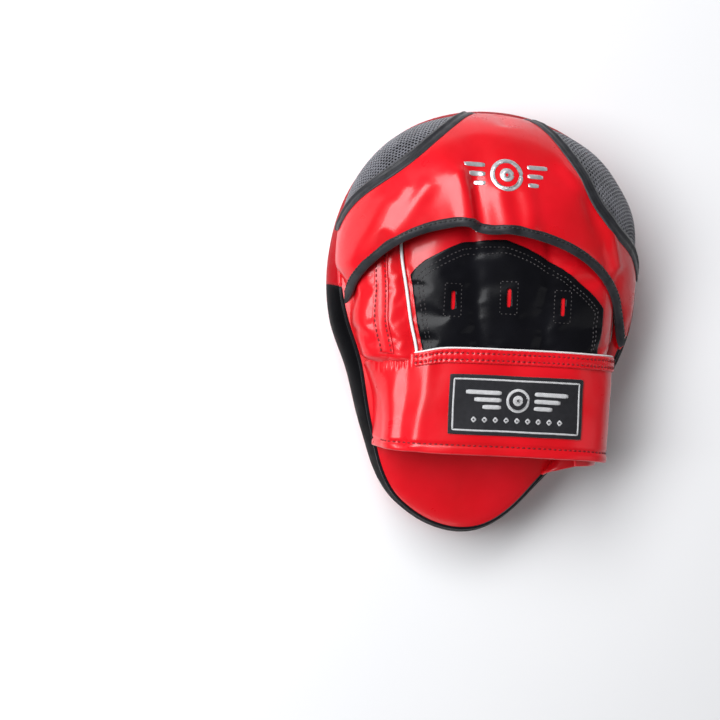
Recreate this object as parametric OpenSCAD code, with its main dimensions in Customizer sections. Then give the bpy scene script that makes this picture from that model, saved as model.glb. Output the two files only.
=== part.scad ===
// Curved boxing focus mitt (hand target), right-hand glove, lying on its striking face.
// Millimetres. +Z rises out of the glove side, +Y points to the fingertips,
// -X is the thumb side. The origin is under the middle of the pad, on the floor.

/* [Pad] */
// Length of the pad, wrist end to fingertip end
pad_length = 259; // [250:1:272]
// Width of the pad across the palm
pad_width = 190; // [180:1:200]
// Radius of the hollow striking face
face_radius = 800; // [700:10:1400]
// Thickness of the outer covers
cover_t = 1.5; // [1:0.1:2]
// Thickness of the soft foam behind the striking face
face_foam_t = 12; // [8:0.5:16]
// Thickness of the firm core foam
core_foam_t = 18; // [14:0.5:22]
// Thickness of the stiffening board
board_t = 2; // [1.5:0.1:3]
// Thickness of the foam under the hand
back_foam_t = 6; // [4:0.5:9]
// Width of the welt along the back rim
welt_w = 3; // [2:0.5:4]

/* [Glove] */
// Height of the finger cover over the pad
glove_h = 31; // [28:0.5:34]
// Thickness of the padded finger cover
finger_t = 3; // [2:0.1:3.5]
// Thickness of the thumb panel and of the flap
panel_t = 2; // [1.5:0.1:2.2]
// Thickness of the lining
lining_t = 1; // [0.6:0.1:1.2]
// Radius of the palm grip's round top
grip_r = 44; // [40:1:48]
// Height of the palm grip over the pad
grip_h = 12; // [8:0.5:14]
// Radius of the white piping
piping_r = 1.1; // [0.8:0.1:1.3]

/* [Hood] */
// Thickness of the hood panel
hood_t = 2; // [1.2:0.1:2.2]
// Width of the binding on the free edge
binding_w = 5.4; // [4:0.2:6]
// Thickness of the binding
binding_t = 3; // [2.4:0.1:3.2]

/* [Wrist strap] */
// Thickness of the strap
strap_t = 2; // [1.5:0.1:2.2]
// Thickness of the hook tape and of the loop tape
tape_t = 1; // [0.8:0.1:1.1]
// Length of the woven label patch
label_w = 82; // [70:1:88]
// Height of the woven label patch
label_h = 34; // [28:1:38]

/* [Hidden] */

// Colours
red = [0.78, 0.05, 0.09];
dark_red = [0.55, 0.03, 0.06];
black = [0.06, 0.06, 0.07];
grey = [0.30, 0.31, 0.33];
white = [0.93, 0.93, 0.92];
foam_blue = [0.35, 0.45, 0.60];
foam_grey = [0.62, 0.63, 0.65];
board_tan = [0.70, 0.58, 0.40];

// The drawing was laid out for a pad 190 by 259; these fit it to the sizes above.
fit_x = pad_width / 190;
fit_y = pad_length / 259;
stack_t = 2 * cover_t + face_foam_t + core_foam_t + board_t + back_foam_t;
sagitta = face_radius - sqrt(pow(face_radius, 2) - pow(pad_length / 2, 2));
slab_len = pad_width + 40;
// Room between pieces that lie on each other, and under trim sewn on a panel
gap = 0.3;
trim_gap = 0.2;

// ---- Curves ----

// Point at u = 0..1 on a smooth curve through the list p
function spline(p, u) =
  let (
    n = len(p) - 1,
    s = min(max(floor(u * n), 0), n - 1),
    w = u * n - s,
    a = p[max(s - 1, 0)], b = p[s], c = p[s + 1], d = p[min(s + 2, n)]
  )
  0.5 * (2 * b + (c - a) * w + (2 * a - 5 * b + 4 * c - d) * w * w
    + (3 * b - a - 3 * c + d) * w * w * w);

// Points from a to b in n steps
function steps(a, b, n) = [for (i = [0:n]) a + (b - a) * i / n];
function lerp(a, b, w) = a + (b - a) * w;
function fitted(p) = [p[0] * fit_x, p[1] * fit_y, p[2]];

// Radius of the pad's outline every 22.5 degrees from +X; it closes on itself
outline_r = [91, 100.5, 116.5, 127, 129.5, 126.5, 115.5, 102.5, 93, 87, 98, 121.5, 129, 105, 89, 85.5];
function outline(a) =
  let (
    n = len(outline_r),
    u = (a % 360 + 360) % 360 * n / 360,
    i = floor(u),
    near = [for (k = [-1:2]) outline_r[(i + k + n) % n]]
  )
  spline(near, (1 + u - i) / 3);

// Height of a layer that lies t above the striking face
function layer_z(y, t = stack_t) =
  sqrt(pow(face_radius + t, 2) - y * y) - (face_radius - sagitta);

// Point on the pad's back, d inside the outline, in direction a
function rim(a, d = 0) =
  let (x = (outline(a) - d) * cos(a) * fit_x, y = (outline(a) - d) * sin(a) * fit_y)
  [x, y, layer_z(y)];

// ---- Sheets and tubes ----

// Normal of the surface f at (a, b), and the same surface d further out
function normal_of(f, a, b, e = 0.004) =
  let (n = cross(f(a + e, b) - f(a - e, b), f(a, b + e) - f(a, b - e))) n / norm(n);
function raised(f, d) = function (a, b) f(a, b) + d * normal_of(f, a, b);
function grid(f, as, bs) = [for (a = as) [for (b = bs) f(a, b)]];

// Closed sheet between the grids top and bottom; holes lists the cells left open
module sheet(top, bottom, holes = []) {
  nu = len(top);
  nv = len(top[0]);
  function at(i, j) = i * nv + j;
  function solid(i, j) =
    i >= 0 && j >= 0 && i < nu - 1 && j < nv - 1 && len([for (h = holes) if (h == [i, j]) h]) == 0;
  function wall(p, q) = [[p, q, q + nu * nv], [p, q + nu * nv, p + nu * nv]];
  faces = [
    for (i = [0:nu - 2], j = [0:nv - 2])
      if (solid(i, j))
        each concat(
          [[at(i, j), at(i, j + 1), at(i + 1, j + 1)], [at(i, j), at(i + 1, j + 1), at(i + 1, j)]],
          [for (t = [[at(i, j), at(i + 1, j + 1), at(i, j + 1)], [at(i, j), at(i + 1, j), at(i + 1, j + 1)]])
            [for (k = t) k + nu * nv]],
          solid(i - 1, j) ? [] : wall(at(i, j + 1), at(i, j)),
          solid(i + 1, j) ? [] : wall(at(i + 1, j), at(i + 1, j + 1)),
          solid(i, j - 1) ? [] : wall(at(i, j), at(i + 1, j)),
          solid(i, j + 1) ? [] : wall(at(i + 1, j + 1), at(i, j + 1))
        )
  ];
  polyhedron(points = concat([for (r = top) each r], [for (r = bottom) each r]), faces = faces);
}

// Sheet on the surface f from height low to height high over it
module layer_on(f, as, bs, low, high) {
  sheet(grid(raised(f, high), as, bs), grid(raised(f, low), as, bs));
}

// The same, for a panel that stands on the pad: its inner side stays above the back cover
module panel_on_pad(f, as, bs, thickness) {
  inner = raised(f, -thickness);
  function above_pad(q) = [q[0], q[1], max(q[2], layer_z(q[1]) + gap / 2)];
  sheet(grid(f, as, bs), grid(function (a, b) above_pad(inner(a, b)), as, bs));
}

// Tube along path; up is the side direction at each point, a and b are its half axes
module tube(path, ups, a, b, sides = 8) {
  n = len(path);
  function tangent(i) = let (t = path[min(i + 1, n - 1)] - path[max(i - 1, 0)]) t / norm(t);
  function ring(i) =
    let (t = tangent(i), s = cross(t, ups[i]), side = s / norm(s), top = cross(side, t))
    [for (k = [0:sides - 1]) path[i] + a * cos(360 * k / sides) * side + b * sin(360 * k / sides) * top];
  points = [for (i = [0:n - 1]) each ring(i)];
  walls = [
    for (i = [0:n - 2], k = [0:sides - 1])
      let (p = i * sides + k, q = i * sides + (k + 1) % sides)
      each [[p, p + sides, q + sides], [p, q + sides, q]]
  ];
  caps = [[for (k = [0:sides - 1]) k], [for (k = [0:sides - 1]) n * sides - 1 - k]];
  polyhedron(points = points, faces = concat(walls, caps));
}

// ---- Pad ----

module pad_prism(d) {
  translate([0, 0, -5])
    linear_extrude(height = stack_t + sagitta + 25)
      polygon([for (a = [0:5:355]) [rim(a, d)[0], rim(a, d)[1]]]);
}

module curved_slab(t0, t1) {
  translate([0, 0, sagitta - face_radius])
    rotate([0, 90, 0])
      difference() {
        cylinder(r = face_radius + t1, h = slab_len, center = true, $fn = 360);
        cylinder(r = face_radius + t0, h = slab_len + 2, center = true, $fn = 360);
      }
}

module pad_layer(d, t0, t1) {
  intersection() {
    pad_prism(d);
    curved_slab(t0, t1);
  }
}

// The fingertip part of the side wall is red and the wrist part black;
// the change runs across the pad on a slant.
split_y = 7 * fit_y;
split_slope = -6.7;
module above_split() {
  translate([0, split_y, 0])
    rotate([0, 0, split_slope])
      translate([-slab_len, 0, -10])
        cube([2 * slab_len, pad_length, stack_t + 60]);
}

module side_ring(d0, d1, t0, t1, upper) {
  difference() {
    pad_layer(d0, t0, t1);
    pad_prism(d1);
    if (upper) mirror_split() above_split();
    else above_split();
  }
}

module mirror_split() {
  translate([0, split_y, 0])
    rotate([0, 0, split_slope])
      mirror([0, 1, 0])
        rotate([0, 0, -split_slope])
          translate([0, -split_y, 0])
            children();
}

t_face = cover_t;
t_core = t_face + face_foam_t;
t_board = t_core + core_foam_t;
t_back = t_board + board_t;
t_top = t_back + back_foam_t;

module face_cover() { color(red) pad_layer(0, 0, t_face); }
module face_foam() { color(foam_grey) pad_layer(cover_t, t_face, t_core); }
module core_foam() { color(foam_blue) pad_layer(cover_t, t_core, t_board); }
module backing_board() { color(board_tan) pad_layer(cover_t, t_board, t_back); }
module back_foam() { color(foam_grey) pad_layer(cover_t, t_back, t_top); }
module back_cover() { color(red) pad_layer(welt_w, t_top, stack_t); }
module gusset_upper() { color(red) side_ring(0, cover_t, t_face, t_top, true); }
module gusset_lower() { color(black) side_ring(0, cover_t, t_face, t_top, false); }
module welt_upper() { color(red) side_ring(0, welt_w, t_top, stack_t, true); }
module welt_lower() { color(black) side_ring(0, welt_w, t_top, stack_t, false); }

// ---- Hand pocket ----

// The pocket runs from glove_y0 to glove_y1; each list holds one value every 19 mm
glove_y0 = -20;
glove_y1 = 113;
thumb_foot_x = [-76, -81.5, -83, -82, -77, -68, -53, -28];
piping_x = [-47, -51.5, -55, -58.5, -59, -54, -43, -22];
piping_rise = [0.82, 0.81, 0.80, 0.77, 0.70, 0.57, 0.37, 0.08];
crest_rise = [0.95, 0.97, 0.98, 0.98, 0.93, 0.80, 0.55, 0.12];
side_foot_x = [73, 75, 75.5, 73.5, 67, 58, 44, 20];

function pocket_y(s) = lerp(glove_y0, glove_y1, s);

// A point over the pad's back at x, y with height h
function over_pad(x, y, h) = [x * fit_x, y * fit_y, layer_z(y * fit_y) + gap + h];

// Finger cover: p runs from the piping to the little-finger side, s to the fingertips
finger_surface = function (p, s)
  let (
    x0 = spline(piping_x, s), x1 = spline(side_foot_x, s), w = x1 - x0,
    h0 = spline(piping_rise, s) * glove_h, h = spline(crest_rise, s) * glove_h,
    q = spline([
      [x0 + 1.6, h0], [x0 + 0.18 * w, h * 0.99], [x0 + 0.42 * w, h], [x0 + 0.68 * w, h * 0.97],
      [x0 + 0.86 * w, h * 0.80], [x0 + 0.96 * w, h * 0.48], [x1, 0]
    ], p)
  )
  over_pad(q[0], pocket_y(s), q[1]);

// Thumb panel: p runs from the pad's edge up to the piping
thumb_surface = function (p, s)
  let (
    x0 = spline(thumb_foot_x, s), x1 = spline(piping_x, s) - 1.6, w = x1 - x0,
    h = spline(piping_rise, s) * glove_h,
    q = spline([[x0, 0], [x0 + 0.12 * w, h * 0.45], [x0 + 0.47 * w, h * 0.84], [x1, h]], p)
  )
  over_pad(q[0], pocket_y(s), q[1]);

function piping_line(s) =
  over_pad(spline(piping_x, s), pocket_y(s), spline(piping_rise, s) * glove_h + 0.2);

module thumb_shell() {
  color(red) panel_on_pad(thumb_surface, steps(0, 1, 6), steps(0, 1, 12), panel_t);
}
module thumb_seam_tape() {
  color(dark_red)
    layer_on(thumb_surface, steps(0.62, 0.78, 2), steps(0.01, 0.5, 10), 2 * gap, 2 * gap + 0.8);
}
module piping_thumb() {
  path = [for (s = steps(0, 0.62, 10)) piping_line(s)];
  color(white) tube(path, [for (p = path) [0, 0, 1]], piping_r, piping_r);
}

// Wall between the thumb pocket and the finger pocket
divider_t = 1.5;
divider_clear = 5;
module thumb_divider() {
  ss = steps(0.08, 0.8, 8);
  function foot(s, dx) = over_pad(spline(piping_x, s) + dx, pocket_y(s), 0);
  function head(s, dx) =
    over_pad(spline(piping_x, s) + dx, pocket_y(s), spline(piping_rise, s) * glove_h - divider_clear);
  color(dark_red)
    sheet(
      [for (s = ss) [foot(s, 0), head(s, 0)]],
      [for (s = ss) [foot(s, -divider_t), head(s, -divider_t)]]
    );
}

module finger_cover() {
  color(red) panel_on_pad(finger_surface, steps(0, 1, 14), steps(0, 1, 12), finger_t);
}
module finger_lining() {
  low = finger_t + 2 * gap + lining_t;
  color(dark_red)
    layer_on(finger_surface, steps(0.05, 0.97, 10), steps(0.02, 0.85, 9), -low, lining_t - low);
}

// The patch and the lining leave room for the flat facets of the panel between them
patch_gap = 0.8;
patch_t = 1;
// Patch over the fingers: its top edge rises to the middle; three slots let air in
patch_p = [0.03, 0.10, 0.172, 0.189, 0.235, 0.30, 0.348, 0.365, 0.42, 0.51, 0.527, 0.62, 0.72];
patch_top_y = [26, 34, 40.5, 42, 45.6, 47.4, 48, 48, 44, 35, 33.5, 23, 12];
slot_columns = [2, 6, 9];
slot_row = 3;
slot_y = 12.5;
slot_len = 11;
module finger_patch() {
  y_low = glove_y0 + 4.5;
  slot_end = slot_y + slot_len / 2;
  last = 6;
  function along(y) = (y - glove_y0) / (glove_y1 - glove_y0);
  function row_y(i, j) =
    let (end = min(slot_end, patch_top_y[i] - 6))
    j < slot_row ? lerp(y_low, slot_y - slot_len / 2, j / (slot_row - 1) * 0.999)
      : lerp(end, patch_top_y[i], (j - slot_row) / (last - slot_row));
  function level(d) = [
    for (i = [0:len(patch_p) - 1])
      [for (j = [0:last]) raised(finger_surface, d)(patch_p[i], along(row_y(i, j)))]
  ];
  color(black)
    sheet(level(patch_gap + patch_t), level(patch_gap), [for (c = slot_columns) [c, slot_row - 1]]);
}

module piping_on_cover(p, s0, s1, n) {
  f = raised(finger_surface, piping_r + 0.2);
  path = [for (s = steps(s0, s1, n)) f(p, s)];
  ups = [for (s = steps(s0, s1, n)) normal_of(finger_surface, p, s)];
  color(white) tube(path, ups, piping_r, piping_r);
}
module piping_crease() { piping_on_cover(0.31, 0.52, 0.82, 6); }
module piping_side() { piping_on_cover(0.93, 0.03, 0.5, 8); }

// Palm grip: a round foam mound under the palm and its cover
grip_x = 8;
grip_y = -22;
grip_base = layer_z(0) - 4;
module mound(extra) {
  difference() {
    translate([grip_x * fit_x, grip_y * fit_y, layer_z(0) + grip_h + extra - grip_r - extra])
      sphere(r = grip_r + extra, $fn = 96);
    translate([0, 0, sagitta - face_radius])
      rotate([0, 90, 0])
        cylinder(r = face_radius + stack_t + 0.1, h = slab_len, center = true, $fn = 360);
    translate([-slab_len, -pad_length, -2 * slab_len])
      cube([2 * slab_len, 2 * pad_length, 2 * slab_len + grip_base]);
  }
}
module palm_grip() { color(foam_grey) mound(0); }
module palm_cover() {
  color(dark_red)
    difference() {
      mound(cover_t);
      translate([grip_x * fit_x, grip_y * fit_y, layer_z(0) + grip_h - grip_r])
        sphere(r = grip_r + 0.01, $fn = 96);
    }
}

// ---- Hood ----

// The hood is sewn along the fingertip rim from hood_a0 round to hood_a1 and
// arches back to its free edge; u runs from right to left, v from rim to edge.
hood_a0 = -8;
hood_a1 = 171;
hood_inset = 2.4;
hood_edge = [
  [83, -10, 56], [79.5, 5, 60], [71, 22, 70], [56, 35.5, 83], [36, 45.5, 92], [12, 51.5, 96.5],
  [-14, 54, 97.5], [-40, 53.5, 96], [-64, 44, 88.5], [-80, 29.5, 73], [-87, 15, 57]
];
hood_rise = layer_z(0) - 51.54;
function hood_rim(u) = rim(lerp(hood_a0, hood_a1, u), hood_inset) + [0, 0, gap];
function hood_free(u) = fitted(spline(hood_edge, u)) + [0, 0, hood_rise + glove_h - 31];
hood_surface = function (u, v)
  let (r = hood_rim(u), e = hood_free(u), c = 1 - cos(90 * v), s = sin(90 * v))
  [lerp(r[0], e[0], c), lerp(r[1], e[1], c), lerp(r[2], e[2], s)];

// Where the panel stops to leave room for the binding on the free edge
function hood_end(u) =
  let (d = hood_free(u) - hood_rim(u)) 1 - (binding_w / 2 + 0.8) * 2 / PI / norm([d[0], d[1]]);

// Seam between the red panel and each mesh side: [first u, last u, highest v]
mesh_right_span = [0.145, 0.515, 0.64];
mesh_left_span = [0.59, 0.885, 0.37];
function seam_v(m, u) =
  u <= m[0] || u >= m[1] ? 0 : m[2] * pow(sin(180 * (u - m[0]) / (m[1] - m[0])), 0.8);

hood_u = concat(steps(0, 0.145, 3), steps(0.18, 0.48, 8), steps(0.515, 0.59, 2), steps(0.62, 0.86, 6),
  steps(0.885, 1, 3));
mesh_gap = 0.012;
function panel_v(u, j, n) =
  lerp(max(seam_v(mesh_right_span, u), seam_v(mesh_left_span, u)) + mesh_gap, hood_end(u), j / n);
function hood_grid(d, us, n) = [for (u = us) [for (j = [0:n]) raised(hood_surface, d)(u, panel_v(u, j, n))]];

module hood_panel() { color(red) sheet(hood_grid(0, hood_u, 7), hood_grid(-hood_t, hood_u, 7)); }
module hood_lining() {
  us = steps(0.03, 0.97, 18);
  low = hood_t + 4 * gap + lining_t;
  top = raised(hood_surface, lining_t - low);
  bottom = raised(hood_surface, -low);
  function span(f) = [for (u = us) [for (j = [0:6]) f(u, lerp(0.06, hood_end(u) - 0.01, j / 6))]];
  color(dark_red) sheet(span(top), span(bottom));
}
module mesh_side(m) {
  us = steps(m[0] + 0.02, m[1] - 0.02, 9);
  function span(f) = [for (u = us) [for (j = [0:4]) f(u, lerp(0, seam_v(m, u) - mesh_gap, j / 4))]];
  color(grey) sheet(span(hood_surface), span(raised(hood_surface, -hood_t)));
}
module mesh_left() { mesh_side(mesh_left_span); }
module mesh_right() { mesh_side(mesh_right_span); }

module mesh_binding(m) {
  us = steps(m[0] + 0.012, m[1] - 0.012, 12);
  half_v = 0.03;
  function span(d) = [
    for (u = us) [for (k = [-1, 1]) raised(hood_surface, d)(u, seam_v(m, u) + k * half_v)]
  ];
  color(black) sheet(span(1.8), span(2 * gap));
}
module mesh_binding_left() { mesh_binding(mesh_left_span); }
module mesh_binding_right() { mesh_binding(mesh_right_span); }

module hood_edge_binding() {
  us = steps(0, 1, 30);
  color(black)
    tube([for (u = us) hood_free(u)], [for (u = us) normal_of(hood_surface, u, 0.98)],
      binding_w / 2, binding_t / 2);
}

// ---- Wrist strap ----

// Outer face of the strap across the wrist, from the hinge line to its tip
hinge_x = -46;
strap_curve = [
  [hinge_x + 1, 80.4], [-30, 84.6], [-8, 86.5], [14, 86.8], [35, 85.6], [52.5, 82.2], [65.5, 76.5],
  [72.6, 69.5], [75.3, 61.5]
];
strap_top_y = [-19.5, -16.5, -16, -16, -16, -16.5, -17, -17.5, -18];
strap_low_y = [-76.5, -76.5, -76.5, -76.5, -77, -77.5, -78.5, -79.5, -80];
strap_surface = function (p, s)
  let (q = spline(strap_curve, p))
  [q[0] * fit_x, lerp(spline(strap_low_y, p), spline(strap_top_y, p), s) * fit_y,
    q[1] + hood_rise + glove_h - 31];

// Fixed end of the strap, sewn to the thumb-side rim
cuff_surface = function (p, s)
  let (
    y = lerp(lerp(-76, -76.5, p), lerp(-29, -20, p), s),
    foot_x = lerp(-67, -73, s),
    lift = hood_rise + glove_h - 31,
    foot_z = layer_z(y * fit_y) + gap,
    q = spline([
      [foot_x, foot_z], [foot_x + 3, 61 + lift], [-60, 71.5 + lift], [hinge_x - 1, 79.2 + lift]
    ], p)
  )
  [q[0] * fit_x, y * fit_y, q[1]];

lining_low = strap_t + gap / 2 + lining_t;
module cuff_base() {
  color(red) panel_on_pad(cuff_surface, steps(0, 1, 6), steps(0, 1, 4), strap_t + lining_t);
}
module strap_outer() { color(red) layer_on(strap_surface, steps(0, 1, 18), steps(0, 1, 4), -strap_t, 0); }
module strap_lining() {
  color(dark_red)
    layer_on(strap_surface, steps(0.03, 0.99, 16), steps(0.02, 0.93, 3), -lining_low, lining_t - lining_low);
}
module strap_edge_strip() {
  color(dark_red) layer_on(strap_surface, steps(0.05, 0.98, 16), [0.885, 0.985], trim_gap, trim_gap + 1.1);
}
module strap_edge_tape() {
  f = raised(strap_surface, -0.4);
  ps = steps(0.04, 0.98, 16);
  color(white) tube([for (p = ps) f(p, 1.019)], [for (p = ps) [0, 0, 1]], 0.8, 0.8);
}
// The label's middle along and across the strap, and the strap's own length and width
label_mid = [0.382, 0.485];
strap_len = 164;
strap_w = 60;
module label_patch() {
  half = [label_w / 2 / strap_len, label_h / 2 / strap_w];
  color(black)
    layer_on(strap_surface, steps(label_mid[0] - half[0], label_mid[0] + half[0], 10),
      steps(label_mid[1] - half[1], label_mid[1] + half[1], 2), trim_gap, trim_gap + 1);
}
hook_low = lining_low + gap + tape_t;
module hook_tape() {
  color(black)
    layer_on(strap_surface, steps(0.72, 0.97, 8), [0.08, 0.5, 0.92], -hook_low, tape_t - hook_low);
}

// Flap sewn to the other rim; it turns in under the strap's tip and holds the loop tape
flap_foot_top = [87.4, -22.8, 48];
flap_foot_low = [54.7, -84.8, 46];
flap_surface = function (p, s)
  let (
    lift = hood_rise + glove_h - 31,
    foot = lerp(flap_foot_top, flap_foot_low, s),
    x = spline([foot[0], lerp(84.4, 60.2, s), lerp(74.5, 66, s), 68.2, 66, 60.6, 53], p),
    z = spline([foot[2], lerp(53.6, 50, s), lerp(57.2, 55.2, s), 61.5, 67, 71.9, 75.2], p),
    y = lerp(foot[1], lerp(-22.6, -83.6, s), p)
  )
  [x * fit_x, y * fit_y, z + lift * p];
module flap() {
  color(red) layer_on(flap_surface, steps(0, 1, 14), steps(0, 1, 5), -panel_t, 0);
}
module loop_tape() {
  color(grey) layer_on(flap_surface, steps(0.52, 0.96, 7), [0.1, 0.5, 0.9], trim_gap, trim_gap + tape_t);
}

face_cover();
face_foam();
core_foam();
backing_board();
back_foam();
back_cover();
gusset_upper();
gusset_lower();
welt_upper();
welt_lower();
thumb_shell();
thumb_seam_tape();
thumb_divider();
piping_thumb();
finger_cover();
finger_lining();
finger_patch();
piping_crease();
piping_side();
palm_grip();
palm_cover();
hood_panel();
hood_lining();
mesh_left();
mesh_right();
hood_edge_binding();
mesh_binding_left();
mesh_binding_right();
cuff_base();
strap_outer();
strap_lining();
strap_edge_strip();
strap_edge_tape();
label_patch();
hook_tape();
flap();
loop_tape();
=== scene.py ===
"""Curved boxing focus mitt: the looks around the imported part.

Shapes are worked out in millimetres in the part's own frame and turned into metres when a mesh is made.
"""

import math

import bmesh
import bpy
import numpy as np
from mathutils import Matrix, Vector, noise
from mathutils.bvhtree import BVHTree


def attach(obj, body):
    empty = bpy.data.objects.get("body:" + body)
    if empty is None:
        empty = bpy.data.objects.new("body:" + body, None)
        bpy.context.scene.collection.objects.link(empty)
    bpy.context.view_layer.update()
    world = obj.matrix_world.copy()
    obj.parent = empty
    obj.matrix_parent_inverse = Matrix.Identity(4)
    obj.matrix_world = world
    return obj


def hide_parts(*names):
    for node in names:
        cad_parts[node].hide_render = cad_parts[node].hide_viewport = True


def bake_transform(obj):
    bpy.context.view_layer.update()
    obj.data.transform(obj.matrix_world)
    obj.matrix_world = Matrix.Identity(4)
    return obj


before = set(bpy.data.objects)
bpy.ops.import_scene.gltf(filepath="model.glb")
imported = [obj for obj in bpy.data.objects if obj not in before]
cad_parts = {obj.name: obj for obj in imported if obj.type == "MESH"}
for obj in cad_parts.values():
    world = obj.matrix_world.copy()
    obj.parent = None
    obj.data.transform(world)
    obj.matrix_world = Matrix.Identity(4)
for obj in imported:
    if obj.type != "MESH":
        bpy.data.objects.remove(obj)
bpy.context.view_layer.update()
MM = 0.001
SCENE = bpy.context.scene

# ---- Camera ----

CAMERA_AIM = (0, 0, 40)
CAMERA_DISTANCE = 900
CAMERA_LEAN = 12  # degrees from straight down, towards the thumb side
CAMERA_ROLL = 3  # degrees
LENS = 72.957
SENSOR = 36
AIM_IN_PICTURE = (0.1722, 0.0514)  # where the aim lands, right of and above the middle, in picture widths


def axes_of(first, second):
    """Matrix whose columns are first, the part of second square to it, and their cross product."""
    a = Vector(first).normalized()
    b = (Vector(second) - a * a.dot(Vector(second))).normalized()
    return Matrix((a, b, a.cross(b))).transposed()


def make_camera():
    lean = math.radians(CAMERA_LEAN)
    roll = math.radians(CAMERA_ROLL)
    sight = Vector((math.sin(lean), 0, -math.cos(lean)))
    in_camera = axes_of((*AIM_IN_PICTURE, -LENS / SENSOR), (math.sin(roll), math.cos(roll), 0))
    in_part = axes_of(sight, (0, 1, 0))
    data = bpy.data.cameras.new("camera")
    data.lens = LENS
    data.sensor_width = SENSOR
    camera = bpy.data.objects.new("camera", data)
    SCENE.collection.objects.link(camera)
    place = (Vector(CAMERA_AIM) - sight * CAMERA_DISTANCE) * MM
    camera.matrix_world = Matrix.Translation(place) @ (in_part @ in_camera.transposed()).to_4x4()
    SCENE.camera = camera


make_camera()

# ---- Curves and surfaces: the part's own, moved closer to the photo in places ----


def spline(values, u):
    """Smooth curve through the values at u from 0 to 1; a value is a number or an array shaped like u."""
    u = np.asarray(u, float)
    p = np.stack([np.broadcast_to(np.asarray(q, float), u.shape) for q in values])
    n = len(p) - 1
    s = np.clip(np.floor(u * n).astype(int), 0, n - 1)
    w = u * n - s
    a, b, c, d = (np.take_along_axis(p, np.clip(s + k, 0, n)[None], 0)[0] for k in (-1, 0, 1, 2))
    return 0.5 * (2 * b + (c - a) * w + (2 * a - 5 * b + 4 * c - d) * w**2 + (3 * b - a - 3 * c + d) * w**3)


def curve(points, u):
    return np.stack([spline([q[k] for q in points], u) for k in range(len(points[0]))], -1)


def lerp(a, b, w):
    return a + (b - a) * w


def smooth_step(x):
    x = np.clip(x, 0, 1)
    return x * x * (3 - 2 * x)


def bell(x, width):
    return np.exp(-((x / width) ** 2))


FACE_R = 800
PAD_T = 41
SAGITTA = FACE_R - math.sqrt(FACE_R**2 - 129.5**2)
OUTLINE_R = [91, 100.5, 116.5, 127, 129.5, 126.5, 115.5, 102.5, 93, 87, 98, 121.5, 129, 105, 89, 85.5]


def outline(a):
    """Radius of the pad's outline in direction a, in degrees."""
    n = len(OUTLINE_R)
    u = np.mod(a, 360) * n / 360
    i = np.floor(u).astype(int)
    near = [np.take(OUTLINE_R, (i + k) % n) for k in (-1, 0, 1, 2)]
    return spline(near, (1 + u - i) / 3)


def layer_z(y, t=PAD_T):
    return np.sqrt((FACE_R + t) ** 2 - y * y) - (FACE_R - SAGITTA)


def pad_point(a, d, t, share=1.0):
    """Point d inside the outline and t above the striking face; share pulls it to the middle."""
    r = (outline(a) - d) * share
    x = r * np.cos(np.radians(a))
    y = r * np.sin(np.radians(a))
    return np.stack([x, y, layer_z(y, t)], -1)


def turn_from(a, middle):
    """Signed angle from middle to a, within half a turn."""
    return np.mod(a - middle + 180, 360) - 180


MORE_LEAN = [(50, 50, 0.25), (186, 16, 0.5)]  # direction, spread and amount
LESS_LEAN = [(128, 27, 1.1), (245, 24, 0.75)]


def rim_taper(a):
    """The side wall's inward lean in direction a, as a share of the part's own lean."""
    more, less = (
        sum(amount * bell(turn_from(a, middle), spread) for middle, spread, amount in leans)
        for leans in (MORE_LEAN, LESS_LEAN)
    )
    return 1.0 + more - less


POCKET_Y = (-20, 113)
GLOVE_H = 31
GAP = 0.3
THUMB_FOOT_X = [-76, -81.5, -83, -82, -77, -68, -53, -28]
PIPING_X = [-47, -51.5, -55, -58.5, -59, -54, -43, -22]
PIPING_RISE = [0.82, 0.81, 0.80, 0.77, 0.70, 0.57, 0.37, 0.08]
CREST_RISE = [0.95, 0.97, 0.98, 0.98, 0.93, 0.80, 0.55, 0.12]
SIDE_FOOT_X = [73, 75, 75.5, 73.5, 67, 58, 44, 20]


def over_pad(x, y, h):
    return np.stack(np.broadcast_arrays(x, y, layer_z(y) + GAP + h), -1)


def finger_surface(p, s):
    """Finger cover: p from the thumb piping to the little-finger side, s from wrist to fingertips."""
    x0 = spline(PIPING_X, s)
    x1 = spline(SIDE_FOOT_X, s)
    w = x1 - x0
    h0 = spline(PIPING_RISE, s) * GLOVE_H
    h = spline(CREST_RISE, s) * GLOVE_H
    q = curve([
        (x0 + 1.6, h0), (x0 + 0.18 * w, h * 0.99), (x0 + 0.42 * w, h), (x0 + 0.68 * w, h * 0.97),
        (x0 + 0.86 * w, h * 0.80), (x0 + 0.96 * w, h * 0.48), (x1, 0 * h),
    ], p)
    return over_pad(q[..., 0], lerp(*POCKET_Y, s), q[..., 1])


THUMB_SIDE = np.linspace(270, 90, 200)


def thumb_rim_x(y):
    """Where the back cover ends at the thumb side."""
    a = THUMB_SIDE
    rim = pad_point(a, 5.6 - 4.6 * (1 - rim_taper(a)), PAD_T)
    return np.interp(y, rim[:, 1], rim[:, 0])


def thumb_surface(p, s):
    """Thumb panel: p from the pad's edge up to the piping."""
    x0 = lerp(spline(THUMB_FOOT_X, s), thumb_rim_x(lerp(*POCKET_Y, s)), smooth_step((0.28 - s) / 0.2))
    x1 = spline(PIPING_X, s) - 1.6
    w = x1 - x0
    h = spline(PIPING_RISE, s) * GLOVE_H
    q = curve([(x0, 0 * h), (x0 + 0.12 * w, h * 0.45), (x0 + 0.47 * w, h * 0.84), (x1, h)], p)
    return over_pad(q[..., 0], lerp(*POCKET_Y, s), q[..., 1])


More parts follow.
